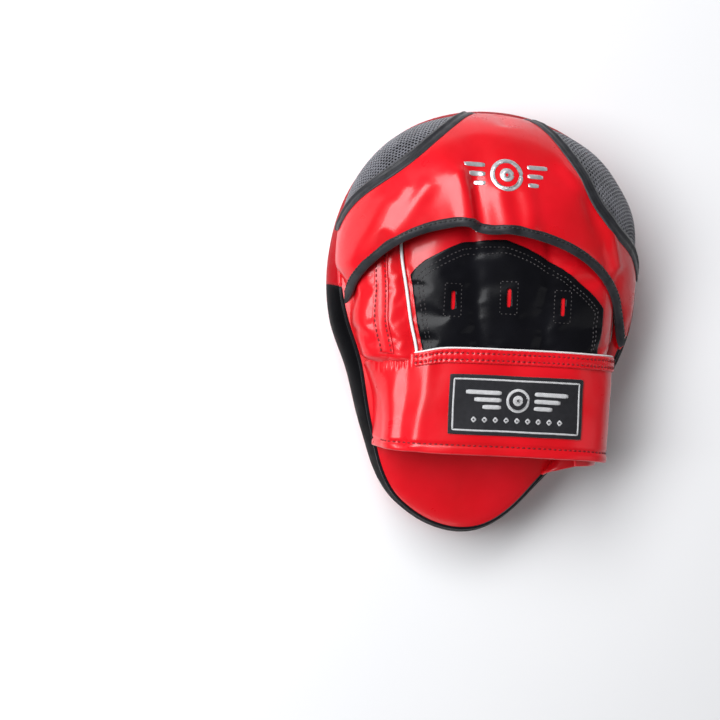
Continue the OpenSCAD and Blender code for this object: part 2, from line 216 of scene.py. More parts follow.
HOOD_ANGLES = (-8, 174.5)
HOOD_EDGE = [
    (83, -10, 56), (79.5, 5, 60), (71, 22, 70), (56, 35.5, 83), (36, 45.5, 92), (12, 51.5, 96.5),
    (-14, 54, 97.5), (-40, 53.5, 96), (-64, 44, 88.5), (-82, 27, 71.5), (-88.5, 9, 49),
]
MESH_RIGHT = (0.150, 0.487, 0.69)
MESH_LEFT = (0.577, 0.868, 0.49)


def hood_rim(u):
    a = lerp(*HOOD_ANGLES, u) - 3 * smooth_step((u - 0.92) / 0.08)
    left_bulge = 3.4 * bell(turn_from(a, 140), 34) * smooth_step((172 - a) / 12)
    right_bulge = 3.2 * bell(turn_from(a, 44), 24)
    tucked = 4.5 * smooth_step((a - 161) / 9)
    return pad_point(a, 3.6 * rim_taper(a) - left_bulge - right_bulge + tucked, PAD_T - 0.4)


def hood_free(u):
    """Free edge of the hood; it has a small kink where the leather buckles."""
    edge = curve(HOOD_EDGE, u)
    kink = 1.5 * bell(edge[..., 0] + 26, 9) - 1.8 * bell(edge[..., 0] + 11, 8)
    edge[..., 1] += kink
    edge[..., 2] += 0.7 * kink
    return edge


def hood_surface(u, v):
    """Hood: u from right to left, v from the rim (0) to the free edge (1)."""
    r = hood_rim(u)
    e = hood_free(u)
    c = (1 - np.cos(np.radians(90 * v)))[..., None]
    s = np.sin(np.radians(90 * v))
    plan = lerp(r[..., :2], e[..., :2], c)
    return np.concatenate([plan, lerp(r[..., 2], e[..., 2], s)[..., None]], -1)


def seam_v(mesh, u):
    """Height of the seam between the leather and a mesh side, 0 outside the mesh."""
    first, last, top = mesh
    turn = np.clip((u - first) / (last - first), 0, 1)
    return top * np.sin(np.pi * turn) ** 0.68


STRAP_LINE = [
    (-45, 80.4), (-30, 84.6), (-8, 86.5), (14, 86.8), (35, 85.6), (52.5, 82.2), (65.5, 76.5), (72.6, 69.5),
    (75.3, 61.5),
]
STRAP_TOP_Y = [-19.5, -16.5, -16, -16, -16, -16.5, -17, -17.5, -18]
STRAP_LOW_Y = [-76.5, -76.5, -76.5, -76.5, -77, -77.5, -78.5, -79.5, -80]


def cuff_surface(p, s):
    y = lerp(lerp(-76, -76.5, p), lerp(-29, -20, p), s)
    foot_x = lerp(-67, thumb_rim_x(y) + 0.5, s)
    foot_z = layer_z(y) + GAP
    q = curve([(foot_x, foot_z), (foot_x + 3, 61), (-60, 71.5), (-47, 79.2)], p)
    return np.stack([q[..., 0], y, q[..., 1]], -1)


def strap_surface(p, s):
    q = curve(STRAP_LINE, p)
    y = lerp(spline(STRAP_LOW_Y, p), spline(STRAP_TOP_Y, p), s)
    return np.stack([q[..., 0], y, q[..., 1]], -1)


def whole_strap(p, s):
    """Cuff and strap as one band: p from the sewn foot to the tip, s from the low edge to the top edge."""
    cuff = [cuff_surface(np.full_like(s, q), s) for q in (0, 1 / 3, 2 / 3)]
    strap = [strap_surface(np.full_like(s, q), s) for q in np.linspace(0, 1, 10)]
    return np.stack([spline([c[..., k] for c in cuff + strap], p) for k in range(3)], -1)


FLAP_FOOT = (-17, -66)  # directions between which the flap is sewn to the rim


def flap_surface(p, s):
    """Flap: p from its seam on the rim to its free edge under the strap, s from fingers to wrist."""
    foot = pad_point(lerp(*FLAP_FOOT, s), 3.4, PAD_T)
    x = spline([foot[..., 0], foot[..., 0] + lerp(0, 4.5, s), lerp(76.5, 65.5, s), 68.2, 66, 60.6, 53], p)
    z = spline([foot[..., 2], lerp(54.5, 52.5, s), lerp(58, 56.5, s), 61.5, 67, 71.9, 75.2], p)
    y = spline([foot[..., 1], foot[..., 1] + lerp(0, 3.5, s)] + [lerp(-22.6, -82, s)] * 5, p)
    return np.stack([x, y, z], -1)


# ---- Grids of points ----

PAD_CORE = np.array([0, 0, 30])


def even_grid(first, second, shape):
    """Two grids of values, even over the first span down the rows and over the second along them."""
    return np.meshgrid(np.linspace(*first, shape[0]), np.linspace(*second, shape[1]), indexing="ij")


def unit(v):
    return v / np.maximum(np.linalg.norm(v, axis=-1, keepdims=True), 1e-9)


def normals(points):
    n = unit(np.cross(np.gradient(points, axis=0), np.gradient(points, axis=1)))
    return n * np.sign((n * (points - PAD_CORE)).sum())


def raised(points, height):
    return points + normals(points) * np.asarray(height)[..., None]


def fold(points, a, b, width, height):
    """Height of a soft ridge from a to b in plan, or of a crease where height is negative."""
    a, b = np.array(a, float), np.array(b, float)
    along = np.clip(((points[..., :2] - a) @ (b - a)) / ((b - a) @ (b - a)), 0, 1)
    away = points[..., :2] - a - along[..., None] * (b - a)
    return height * bell(np.linalg.norm(away, axis=-1), width)


def waviness(points, size, height):
    flat = points.reshape(-1, 3) / size
    return height * np.array([noise.noise(Vector(q)) for q in flat]).reshape(points.shape[:-1])


def sample(field, u, v):
    """Smooth value at scattered places, from 0 to 1 each way, of a field given on a grid."""

    def near(x, n):
        x = np.clip(x, 0, 1) * (n - 1)
        i = np.clip(np.floor(x).astype(int), 0, n - 2)
        w = (x - i)[..., None]
        shares = [2 * w**2 - w - w**3, 2 - 5 * w**2 + 3 * w**3, w + 4 * w**2 - 3 * w**3, w**3 - w**2]
        return [(np.clip(i + k, 0, n - 1), share / 2) for k, share in zip((-1, 0, 1, 2), shares)]

    return sum(a * b * field[i, j] for i, a in near(u, field.shape[0]) for j, b in near(v, field.shape[1]))


# ---- Meshes ----


def quads(index):
    """Faces between the neighbours in a grid of point numbers."""
    return np.stack([index[:-1, :-1], index[1:, :-1], index[1:, 1:], index[:-1, 1:]], -1).reshape(-1, 4)


def closed(loop):
    return np.concatenate([loop, loop[:1]])


def panel_mesh(outer, inner):
    """Closed sheet between two grids of points, with a rounded edge all the way round."""
    nu, nv = outer.shape[:2]
    count = nu * nv
    index = np.arange(count).reshape(nu, nv)
    border = np.concatenate([index[0, :-1], index[:-1, -1], index[-1, :0:-1], index[:0:-1, 0]])
    i, j = np.unravel_index(border, (nu, nv))
    top = outer.reshape(-1, 3)[border]
    low = inner.reshape(-1, 3)[border]
    half = (top - low) / 2
    away = top - outer[np.clip(i, 1, nu - 2), np.clip(j, 1, nv - 2)]
    away -= (away * unit(half)).sum(-1, keepdims=True) * unit(half)
    away = unit(away) * np.linalg.norm(half, axis=-1, keepdims=True)
    turns = np.pi * np.array([1, 2, 3]) / 4
    rings = [(top + low) / 2 + half * math.cos(t) + away * math.sin(t) for t in turns]
    points = np.concatenate([outer.reshape(-1, 3), inner.reshape(-1, 3), *rings])
    between = [2 * count + k * len(border) + np.arange(len(border)) for k in range(3)]
    loops = [border, *between, border + count]
    rim = quads(np.stack([closed(loop) for loop in loops]))
    return points, np.concatenate([quads(index), quads(index) + count, rim]).tolist()


def capped(index):
    """Faces of closed rings of point numbers; the two points that follow are the tips of its ends."""
    faces = quads(np.concatenate([index, index[:, :1]], 1)).tolist()
    for ring, tip in ((index[0], index.size), (index[-1], index.size + 1)):
        faces += [[a, b, tip] for a, b in zip(ring, np.roll(ring, -1))]
    return faces


def tube_mesh(path, ups, side_r, up_r, sides=12):
    """Closed tube with an oval section and domed ends."""
    tangent = unit(np.gradient(path, axis=0))
    across = unit(np.cross(tangent, ups))
    up = np.cross(across, tangent)
    turn = np.linspace(0, 2 * np.pi, sides, endpoint=False)
    taper = np.ones(len(path))
    taper[[0, -1]] = 0.7
    side = np.multiply.outer(taper * side_r, np.cos(turn))[..., None] * across[:, None]
    lift = np.multiply.outer(taper * up_r, np.sin(turn))[..., None] * up[:, None]
    rings = path[:, None] + side + lift
    tips = [end + way * np.mean(up_r) * 0.5 for end, way in ((path[0], -tangent[0]), (path[-1], tangent[-1]))]
    index = np.arange(len(path) * sides).reshape(len(path), sides)
    return np.concatenate([rings.reshape(-1, 3), tips]), capped(index)


def lathe_mesh(rings):
    """Solid of closed rings of points; the first and the last ring close to a point each."""
    index = np.arange(len(rings) * len(rings[0])).reshape(len(rings), -1)
    return np.concatenate([*rings, [rings[0].mean(0), rings[-1].mean(0)]]), capped(index)


def arc_mesh(rows):
    """Solid of rows of points that go part of the way round the pad and join up, with capped ends."""
    index = np.arange(len(rows) * len(rows[0])).reshape(len(rows), -1)
    faces = quads(closed(index)).tolist()
    return np.concatenate(rows), faces + [index[:, 0].tolist(), index[:, -1].tolist()]


STITCH_STATIONS = [(-0.8, 0.7), (-0.35, 1.0), (0.35, 1.0), (0.8, 0.7)]


def stitch_mesh(places, tangents, lifts, length, radius, sides=6):
    """One small thread capsule at each place."""
    across = unit(np.cross(tangents, lifts))
    turn = np.linspace(0, 2 * np.pi, sides, endpoint=False)
    rings = []
    for station, r in STITCH_STATIONS:
        middle = places + tangents * station * length / 2
        for t in turn:
            offset = across * math.cos(t) * radius * r * 1.15 + lifts * math.sin(t) * radius * r
            rings.append(middle + offset - lifts * 0.25 * radius * station**2)
    rings += [places + tangents * way * length / 2 - lifts * 0.4 * radius for way in (-1, 1)]
    points = np.stack(rings, 1)
    faces = capped(np.arange(len(STITCH_STATIONS) * sides).reshape(-1, sides))
    each = points.shape[1]
    return points.reshape(-1, 3), [[v + k * each for v in f] for k in range(len(places)) for f in faces]


# ---- Materials ----


class Surface:
    """A material with helpers that add nodes to it."""

    def __init__(self, name, **values):
        self.material = bpy.data.materials.new(name)
        self.material.use_nodes = True
        self.tree = self.material.node_tree
        self.shader = self.tree.nodes["Principled BSDF"]
        for socket, value in values.items():
            self.shader.inputs[socket.replace("_", " ")].default_value = value
        self.place = self.add("ShaderNodeTexCoord").outputs["Object"]

    def add(self, kind, inputs=None, **settings):
        made = self.tree.nodes.new(kind)
        for key, value in settings.items():
            setattr(made, key, value)
        for key, value in (inputs or {}).items():
            if isinstance(value, bpy.types.NodeSocket):
                self.tree.links.new(value, made.inputs[key])
            else:
                made.inputs[key].default_value = value
        return made

    def feed(self, socket, value):
        self.tree.links.new(value, self.shader.inputs[socket])

    def noise(self, size, detail=3.0, rough=0.5):
        inputs = {"Vector": self.place, "Scale": 1 / (size * MM), "Detail": detail, "Roughness": rough}
        return self.add("ShaderNodeTexNoise", inputs).outputs["Fac"]

    def cells(self, size):
        inputs = {"Vector": self.place, "Scale": 1 / (size * MM)}
        return self.add("ShaderNodeTexVoronoi", inputs).outputs["Distance"]

    def bands(self, pitch, direction, distortion=0.0):
        inputs = {"Vector": self.place, "Scale": 1 / (20 * pitch * MM) * 6.283, "Distortion": distortion}
        return self.add("ShaderNodeTexWave", inputs, bands_direction=direction).outputs["Fac"]

    def ranged(self, value, low, high, to_low=0.0, to_high=1.0):
        inputs = {"Value": value, "From Min": low, "From Max": high, "To Min": to_low, "To Max": to_high}
        return self.add("ShaderNodeMapRange", inputs).outputs["Result"]

    def uneven(self, size, low=0.0, high=1.0, detail=3.0, rough=0.5):
        """Noise spread out so that it reaches from low to high."""
        return self.ranged(self.noise(size, detail, rough), 0.3, 0.7, low, high)

    def mixed(self, share, first, second):
        made = self.add("ShaderNodeMix", data_type="RGBA")
        for key, value in ((0, share), (6, first), (7, second)):
            if isinstance(value, bpy.types.NodeSocket):
                self.tree.links.new(value, made.inputs[key])
            else:
                made.inputs[key].default_value = value if key == 0 else (*value, 1)
        return made.outputs[2]

    def maths(self, operation, a, b):
        return self.add("ShaderNodeMath", {0: a, 1: b}, operation=operation).outputs["Value"]

    def bumps(self, *layers):
        """Each layer is (height, strength, depth in millimetres)."""
        last = None
        for height, strength, depth in layers:
            inputs = {"Height": height, "Strength": strength, "Distance": depth * MM}
            made = self.add("ShaderNodeBump", inputs)
            if last:
                self.tree.links.new(last, made.inputs["Normal"])
            last = made.outputs["Normal"]
        self.feed("Normal", last)

    def worn_edges(self, colour, worn):
        """Mixes the worn colour in where the surface is sharply convex."""
        edge = self.add("ShaderNodeNewGeometry").outputs["Pointiness"]
        patchy = self.maths("MULTIPLY", self.ranged(edge, 0.53, 0.60), self.noise(4))
        return self.mixed(patchy, colour, worn)


def leather(name, dark, light, worn, rough=(0.26, 0.40), coat=0.3, specular=0.3):
    """Smooth coated leather: fine grain, soft waves, patchy gloss and paler edges."""
    s = Surface(name, Coat_Weight=coat, Coat_Roughness=0.15, Specular_IOR_Level=specular)
    colour = s.mixed(s.ranged(s.noise(38, 4), 0.35, 0.65), dark, light)
    s.feed("Base Color", s.worn_edges(colour, worn))
    s.feed("Roughness", s.uneven(16, *rough, detail=5, rough=0.6))
    s.bumps((s.noise(14, 2), 0.25, 0.5), (s.cells(0.9), 0.16, 0.10), (s.noise(0.5, 3), 0.10, 0.06))
    return s.material


def cloth(name, dark, light, pitch, rough=(0.75, 0.92), sheen=0.3, height=0.25):
    """Plain woven cloth: two sets of threads with fuzzy colour variation."""
    s = Surface(name, Sheen_Weight=sheen, Sheen_Roughness=0.5, Specular_IOR_Level=0.25)
    warp = s.bands(pitch, "X", 0.6)
    weft = s.bands(pitch, "Y", 0.6)
    weave = s.maths("MAXIMUM", warp, weft)
    fuzz = s.maths("MULTIPLY", s.uneven(9, detail=5), s.ranged(weave, 0, 1, 0.55, 1))
    s.feed("Base Color", s.mixed(fuzz, dark, light))
    s.feed("Roughness", s.uneven(3, *rough))
    s.bumps((weave, 0.6, height), (s.noise(0.4, 2), 0.2, 0.1))
    return s.material


def tape(name, dark, light):
    """Satin binding tape with fine ribs and a soft shine."""
    s = Surface(name, Sheen_Weight=0.1, Sheen_Roughness=0.4, Coat_Weight=0.05, Specular_IOR_Level=0.28)
    ribs = s.maths("MULTIPLY", s.bands(0.7, "X", 0.3), s.bands(0.7, "Y", 0.3))
    colour = s.mixed(s.uneven(7, detail=4), dark, light)
    s.feed("Base Color", s.worn_edges(colour, (0.16, 0.16, 0.17)))
    s.feed("Roughness", s.uneven(5, 0.42, 0.60))
    s.bumps((s.noise(6, 2), 0.3, 0.4), (ribs, 0.3, 0.08))
    return s.material


def plastic(name, dark, light, rough=(0.3, 0.5), coat=0.1):
    """Vinyl cord or thread with a slightly uneven surface."""
    s = Surface(name, Coat_Weight=coat, Specular_IOR_Level=0.45)
    s.feed("Base Color", s.mixed(s.uneven(6, detail=4), dark, light))
    s.feed("Roughness", s.uneven(2, *rough))
    s.bumps((s.noise(1.2, 3), 0.2, 0.12),)
    return s.material


def foam(name, dark, light, cell):
    """Foam with open cells."""
    s = Surface(name, Sheen_Weight=0.15, Specular_IOR_Level=0.2)
    pores = s.cells(cell)
    s.feed("Base Color", s.mixed(s.ranged(pores, 0.1, 0.7), dark, light))
    s.feed("Roughness", s.uneven(3, 0.85, 0.97))
    s.bumps((pores, 0.7, 0.5), (s.noise(20, 3), 0.3, 0.8))
    return s.material


def foil(name, dark, light):
    """Silver transfer print with brushed streaks and a few rubbed spots."""
    s = Surface(name, Metallic=0.75, Specular_IOR_Level=0.6)
    streaks = s.noise(5, 6, 0.7)
    s.feed("Base Color", s.mixed(s.ranged(streaks, 0.3, 0.7), dark, light))
    s.feed("Roughness", s.ranged(streaks, 0.3, 0.7, 0.28, 0.48))
    s.bumps((s.noise(0.8, 3), 0.15, 0.05),)
    return s.material


def hook_cloth(name, dark, light):
    """Hook or loop tape: a dense pile."""
    s = Surface(name, Sheen_Weight=0.5, Sheen_Roughness=0.5)
    pile = s.cells(0.9)
    s.feed("Base Color", s.mixed(s.ranged(pile, 0.1, 0.8), light, dark))
    s.feed("Roughness", s.uneven(1.5, 0.8, 0.95))
    s.bumps((pile, 0.9, 0.6), (s.noise(0.5), 0.4, 0.3))
    return s.material


def embroidery(name, dark, light):
    """Woven label threads in narrow rows."""
    s = Surface(name, Sheen_Weight=0.35, Sheen_Roughness=0.35, Specular_IOR_Level=0.4)
    rows = s.bands(0.55, "DIAGONAL", 0.4)
    s.feed("Base Color", s.mixed(s.maths("MULTIPLY", rows, s.ranged(s.noise(2.5), 0.2, 0.7)), dark, light))
    s.feed("Roughness", s.uneven(2, 0.5, 0.7))
    s.bumps((rows, 0.6, 0.2), (s.noise(0.4), 0.2, 0.08))
    return s.material


RECIPES = {
    "red_leather": (leather, (0.62, 0.003, 0.008), (0.74, 0.005, 0.014), (0.82, 0.05, 0.07)),
    "black_leather": (
        leather, (0.003, 0.003, 0.004), (0.006, 0.006, 0.008), (0.035, 0.035, 0.04), (0.22, 0.34), 0.08, 0.09,
    ),
    "red_lining": (cloth, (0.22, 0.006, 0.010), (0.38, 0.012, 0.02), 0.9),
    "black_lining": (cloth, (0.004, 0.004, 0.005), (0.012, 0.012, 0.014), 0.9, (0.75, 0.92), 0.05),
    "black_binding": (tape, (0.010, 0.010, 0.012), (0.026, 0.026, 0.031)),
    "airmesh": (cloth, (0.075, 0.075, 0.088), (0.15, 0.15, 0.175), 0.5, (0.55, 0.75), 0.4, 0.12),
    "white_piping": (plastic, (0.74, 0.72, 0.72), (0.86, 0.85, 0.84)),
    "label_weave": (embroidery, (0.006, 0.006, 0.008), (0.022, 0.022, 0.027)),
    "soft_foam": (foam, (0.42, 0.43, 0.45), (0.64, 0.65, 0.67), 1.6),
    "firm_foam": (foam, (0.22, 0.31, 0.45), (0.36, 0.46, 0.62), 1.1),
    "board": (cloth, (0.40, 0.30, 0.19), (0.60, 0.48, 0.33), 2.2, (0.7, 0.9), 0.0, 0.08),
    "hook_loop": (hook_cloth, (0.012, 0.012, 0.014), (0.055, 0.055, 0.06)),
    # The two wall recipes are darker copies of the red and black leather, with less shine: their darker
    # colour is painted shade on the side walls, which face away from the light.
    "shaded_red_wall": (
        leather, (0.33, 0.002, 0.006), (0.44, 0.003, 0.009), (0.60, 0.03, 0.04), (0.40, 0.55), 0.0, 0.03,
    ),
    "shaded_black_wall": (
        leather, (0.002, 0.002, 0.0025), (0.004, 0.004, 0.005), (0.02, 0.02, 0.02), (0.4, 0.55), 0.0, 0.015,
    ),
    "red_thread": (plastic, (0.17, 0.002, 0.005), (0.30, 0.004, 0.010), (0.45, 0.65), 0.0),
    "black_thread": (plastic, (0.006, 0.006, 0.007), (0.016, 0.016, 0.018), (0.4, 0.6)),
    "grey_thread": (plastic, (0.012, 0.011, 0.012), (0.05, 0.042, 0.045), (0.35, 0.55)),
    "silver_thread": (embroidery, (0.42, 0.42, 0.43), (0.80, 0.80, 0.80)),
    "silver_foil": (foil, (0.60, 0.61, 0.63), (0.86, 0.87, 0.88)),
}
MATERIALS = {name: make(name, *values) for name, (make, *values) in RECIPES.items()}

# ---- Pieces ----


def new_object(name, points, faces, material):
    mesh = bpy.data.meshes.new(name)
    mesh.from_pydata((np.asarray(points) * MM).tolist(), [], faces)
    shaped = bmesh.new()
    shaped.from_mesh(mesh)
    bmesh.ops.recalc_face_normals(shaped, faces=shaped.faces)
    shaped.to_mesh(mesh)
    shaped.free()
    mesh.shade_smooth()
    mesh.materials.append(material)
    obj = bpy.data.objects.new(name, mesh)
    SCENE.collection.objects.link(obj)
    return obj


def piece(name, mesh, slot, body="pad", look=None):
    """Makes a piece that rides on a body, and stands for the CAD node of the same name if there is one."""
    obj = new_object("soft_" + name, *mesh, MATERIALS[look or slot])
    if body:
        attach(obj, body)
    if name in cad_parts:
        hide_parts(name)
    return obj


def panel(name, points, thickness, slot, body="pad"):
    """A sheet whose outer face is the grid of points."""
    return piece(name, panel_mesh(points, raised(points, -thickness)), slot, body)


def surface_tree(obj):
    """Search tree of an object's mesh in millimetres."""
    points = [v.co / MM for v in obj.data.vertices]
    return BVHTree.FromPolygons(points, [p.vertices[:] for p in obj.data.polygons])


def settle(tree, points):
    """Nearest places on a mesh to the points, and its normals there."""
    found = [tree.find_nearest(Vector(q)) for q in points]
    return np.array([f[0] for f in found]), np.array([f[1] for f in found])


def evenly(path, pitch):
    """Points every pitch along a path."""
    length = np.concatenate([[0], np.cumsum(np.linalg.norm(np.diff(path, axis=0), axis=1))])
    at = np.linspace(pitch / 2, length[-1] - pitch / 2, max(2, int(length[-1] / pitch)))
    return np.stack([np.interp(at, length, path[:, k]) for k in range(3)], -1)


PUFF_FRAMES = 20


def puffed(points, seams, pressure, slack, cap):
    """How far cloth over the grid of points moves when it is blown out between its seams."""
    index = np.arange(points.shape[0] * points.shape[1]).reshape(points.shape[:2])
    obj = new_object("puffing", points.reshape(-1, 3), quads(index).tolist(), MATERIALS["black_thread"])
    out = normals(points).reshape(-1, 3)
    if sum(np.array(v.normal) @ n for v, n in zip(obj.data.vertices, out)) < 0:
        obj.data.flip_normals()
    group = obj.vertex_groups.new(name="seams")
    group.add(np.flatnonzero(seams.ravel()).tolist(), 1.0, "REPLACE")
    cloth = obj.modifiers.new("cloth", "CLOTH")
    cloth.settings.quality = 6
    cloth.settings.mass = 0.15
    cloth.settings.bending_stiffness = 6
    cloth.settings.use_pressure = True
    cloth.settings.uniform_pressure_force = pressure
    cloth.settings.vertex_group_mass = "seams"
    cloth.settings.shrink_min = -slack
    cloth.settings.effector_weights.gravity = 0
    cloth.point_cache.frame_end = PUFF_FRAMES
    for step in range(1, PUFF_FRAMES + 1):
        SCENE.frame_set(step)
    shaped = obj.evaluated_get(bpy.context.evaluated_depsgraph_get()).data
    moved = np.array([v.co for v in shaped.vertices]) / MM - points.reshape(-1, 3)
    SCENE.frame_set(1)
    bpy.data.objects.remove(obj)
    far = np.linalg.norm(moved, axis=1, keepdims=True)
    return (moved * np.tanh(far / cap) * cap / np.maximum(far, 1e-9)).reshape(points.shape)


def border_of(shape):
    """True along the edges of a grid."""
    edge = np.ones(shape[:2], bool)
    edge[1:-1, 1:-1] = False
    return edge


def stitches(name, paths, tree, slot, body="pad", look="red_thread", pitch=3.2, length=2.3, radius=0.42):
    """Rows of stitches along the paths, settled on the mesh of the tree."""
    places, tangents, lifts = [], [], []
    for path in paths:
        spots, normal = settle(tree, evenly(path, pitch))
        places.append(spots + normal * radius * 0.2)
        tangents.append(unit(np.gradient(spots, axis=0)))
        lifts.append(normal)
    rows = [np.concatenate(parts) for parts in (places, tangents, lifts)]
    return piece(name, stitch_mesh(*rows, length, radius), slot, body, look)


# ---- Pad ----

RED_FROM, RED_TO = -2.4, 169
ALL_ROUND = np.linspace(0, 360, 240, endpoint=False)


def inner_profile(profile, thickness):
    """The profile moved inwards by thickness, last point first."""
    p = np.array(profile, float)
    along = unit(np.gradient(p, axis=0))
    return (p + thickness * np.stack([-along[:, 1], along[:, 0]], -1))[::-1]


def leaning(a, d):
    """Inset of a place on the wall or back rim, which leans in by a different amount all round."""
    return d - np.clip(d, 0, 5) * (1 - rim_taper(a))


def rings_of(profile, angles, lean=True, least=-9):
    return [pad_point(angles, np.maximum(leaning(angles, d), least) if lean else d, t) for d, t in profile]


def flattened(ring, share, t):
    """The ring drawn in towards the middle of the pad, at height t."""
    plan = ring[:, :2] * share
    return np.column_stack([plan, layer_z(plan[:, 1], t)])


def skin(name, profile):
    """A cover over one face of the pad: profile is its rolled edge as (inset, height)."""
    inner = inner_profile(profile, COVER_THICKNESS)
    lean = name == "back_cover"
    outer_rings = rings_of(profile, ALL_ROUND, lean)
    inner_rings = rings_of(inner, ALL_ROUND, lean)
    middle = [flattened(outer_rings[-1], k, profile[-1][1]) for k in SHARES]
    inner_middle = [flattened(inner_rings[0], k, inner[0][1]) for k in SHARES]
    rings = middle[::-1] + outer_rings[::-1] + inner_rings[::-1] + inner_middle
    return piece(name, lathe_mesh(rings), "red_leather")


COVER_THICKNESS = 1.4
SHARES = [0.97, 0.93, 0.86, 0.78, 0.68, 0.57, 0.45, 0.33, 0.21, 0.1]
FACE_EDGE = [(2.2, 10.1), (1.1, 10.0), (0.35, 9.2), (0.1, 7.8), (0.15, 5.2), (0.6, 3.0), (1.5, 1.4), (3, 0.5),
             (5, 0.1), (9, 0), (16, 0)]
WALL = [(2.0, 10.5), (0.9, 10.7), (0.2, 11.5), (-0.2, 13.5), (-0.5, 18), (-0.5, 23), (0, 28), (1.1, 32.5),
        (2.6, 36.4), (4.2, 39.2), (5.2, 40.2)]
BACK_RISE = 3.4
FACE_TOP = 13.5  # the face foam lies below this height and does not lean
FILLING_INSET = 1.8


def back_height(d):
    return 39.6 + BACK_RISE * (1 - math.exp(-(d - 5.4) / 7))


BACK_EDGE = [(5.0, 38.8), (5.2, 39.7)] + [(d, back_height(d)) for d in (6, 7, 8.5, 10.5, 13, 16, 20, 25, 31)]


def pad_slab(name, inset, low, high, slot, edge=1.0):
    """One layer of the pad's filling, with softened edges."""
    corner = [(edge, 0), (0.3 * edge, 0.3 * edge), (0, edge)]
    profile = [(inset + d, low + t) for d, t in corner] + [(inset + d, high - t) for d, t in corner[::-1]]
    rings = rings_of(profile, ALL_ROUND, high > FACE_TOP, FILLING_INSET)
    d = inset + edge
    below = [pad_point(ALL_ROUND, d, low, k) for k in (0.2, 0.5, 0.8)]
    above = [pad_point(ALL_ROUND, d, high, k) for k in (0.8, 0.5, 0.2)]
    piece(name, lathe_mesh(below + rings + above), slot)


def wall(name, first, last, slot, look):
    angles = np.linspace(first, last, 150)
    rings = rings_of(WALL, angles) + rings_of(inner_profile(WALL, 1.3), angles)
    piece(name, arc_mesh(rings), slot, look=look)


def welt(name, first, last, slot, radius):
    angles = np.linspace(first, last, 200)
    path = pad_point(angles, leaning(angles, 4.6), 40.2)
    slanted = unit(path * np.array([1, 1, 0])) + np.array([0, 0, 1.0])
    piece(name, tube_mesh(path, slanted, radius, radius * 1.15), slot)


def build_pad():
    face = skin("face_cover", FACE_EDGE)
    back = skin("back_cover", BACK_EDGE)
    pad_slab("face_foam", 1.8, 1.8, 13.4, "soft_foam")
    pad_slab("core_foam", 2.6, 13.6, 31.2, "firm_foam")
    pad_slab("backing_board", 4.2, 31.5, 33.3, "board", 0.5)
    pad_slab("back_foam", 6.6, 33.6, 38.6, "soft_foam")
    # The side walls take the darker copies of the leather: painted shade.
    wall("gusset_upper", RED_FROM + 0.05, RED_TO - 0.05, "red_leather", "shaded_red_wall")
    wall("gusset_lower", RED_TO + 0.05, RED_FROM + 359.95, "black_leather", "shaded_black_wall")
    welt("welt_upper", RED_FROM, RED_TO, "red_leather", 1.4)
    welt("welt_lower", RED_TO, RED_FROM + 360, "black_leather", 1.2)
    return face


face_skin = build_pad()

# ---- Thumb pocket ----

TAPE_MIDDLE = 0.66
TAPE_LEAN = 0.12
TAPE_END = 0.62
THUMB_WAVES = (26, 0.5)


def thumb_height(p, s):
    """Padding of the thumb panel: a bulge each side of the sunk seam tape."""
    middle = TAPE_MIDDLE + TAPE_LEAN * s
    sunk = -1.1 * bell(p - middle, 0.075)
    inner = 1.2 * bell(p - lerp(middle, 1, 0.55), 0.10)
    outer = 1.5 * bell(p - 0.34, 0.18)
    return sunk + inner + outer


TUCK = -0.09  # how far the thumb panel runs on under the cuff, as a share of the pocket's length


def thumb_points(p, s):
    flat = thumb_surface(p, s)
    tucked = 5 * smooth_step((-s - 0.015) / 0.05)
    height = thumb_height(p, s) + waviness(flat, *THUMB_WAVES) + fold(flat, (-80, -8), (-72, -14), 3, -0.8)
    height = height * smooth_step(p / 0.08) * smooth_step((1 - p) / 0.05)
    return raised(flat, height - tucked)


def puff_thumb():
    p, s = even_grid((0, 1), (0, 1), (25, 60))
    tape_row = (np.abs(p - TAPE_MIDDLE - TAPE_LEAN * s) < 0.07) & (s < TAPE_END)
    return puffed(thumb_points(p, s), border_of(p.shape) | tape_row, 3.0, 0.006, 0.55)


def build_thumb():
    puff = puff_thumb()
    p, s = even_grid((0, 1), (TUCK, 1), (48, 118))
    shell = panel("thumb_shell", thumb_points(p, s) + sample(puff, p, s), 2.0, "red_leather")
    ss = np.linspace(0, TAPE_END, 60)
    widths = np.linspace(-0.085, 0.085, 9)
    p = TAPE_MIDDLE + TAPE_LEAN * ss[None] + widths[:, None]
    s = np.broadcast_to(ss, p.shape)
    flat = thumb_surface(p, s)
    base = raised(flat, thumb_height(p, s) + waviness(flat, *THUMB_WAVES) + 1.0) + sample(puff, p, s)
    strip = panel("thumb_seam_tape", base, 0.9, "red_leather")
    above = raised(base, 1.5)
    rows = [above[1], above[-2]]
    stitches("thumb_stitches", rows, surface_tree(strip), "red_leather", pitch=2.9, length=2.0)
    ss = np.linspace(0.08, 0.8, 20)
    x = spline(PIPING_X, ss)
    y = lerp(*POCKET_Y, ss)
    top = spline(PIPING_RISE, ss) * GLOVE_H - 5
    wall_points = np.stack([over_pad(x, y, top * k) for k in np.linspace(0, 1, 9)], 1)
    divider = panel("thumb_divider", wall_points, 1.3, "red_lining")
    s = np.linspace(0, 0.66, 80)
    path = over_pad(spline(PIPING_X, s), lerp(*POCKET_Y, s), spline(PIPING_RISE, s) * GLOVE_H + 0.6)
    upright = np.broadcast_to([0.0, 0, 1], path.shape)
    piece("piping_thumb", tube_mesh(path, upright, 0.95, 1.1), "white_piping")


build_thumb()

# ---- Finger pocket ----

CREASE_A = ((-20, 60), (-10, -20))
CREASE_B = ((31, 60), (26, -20))


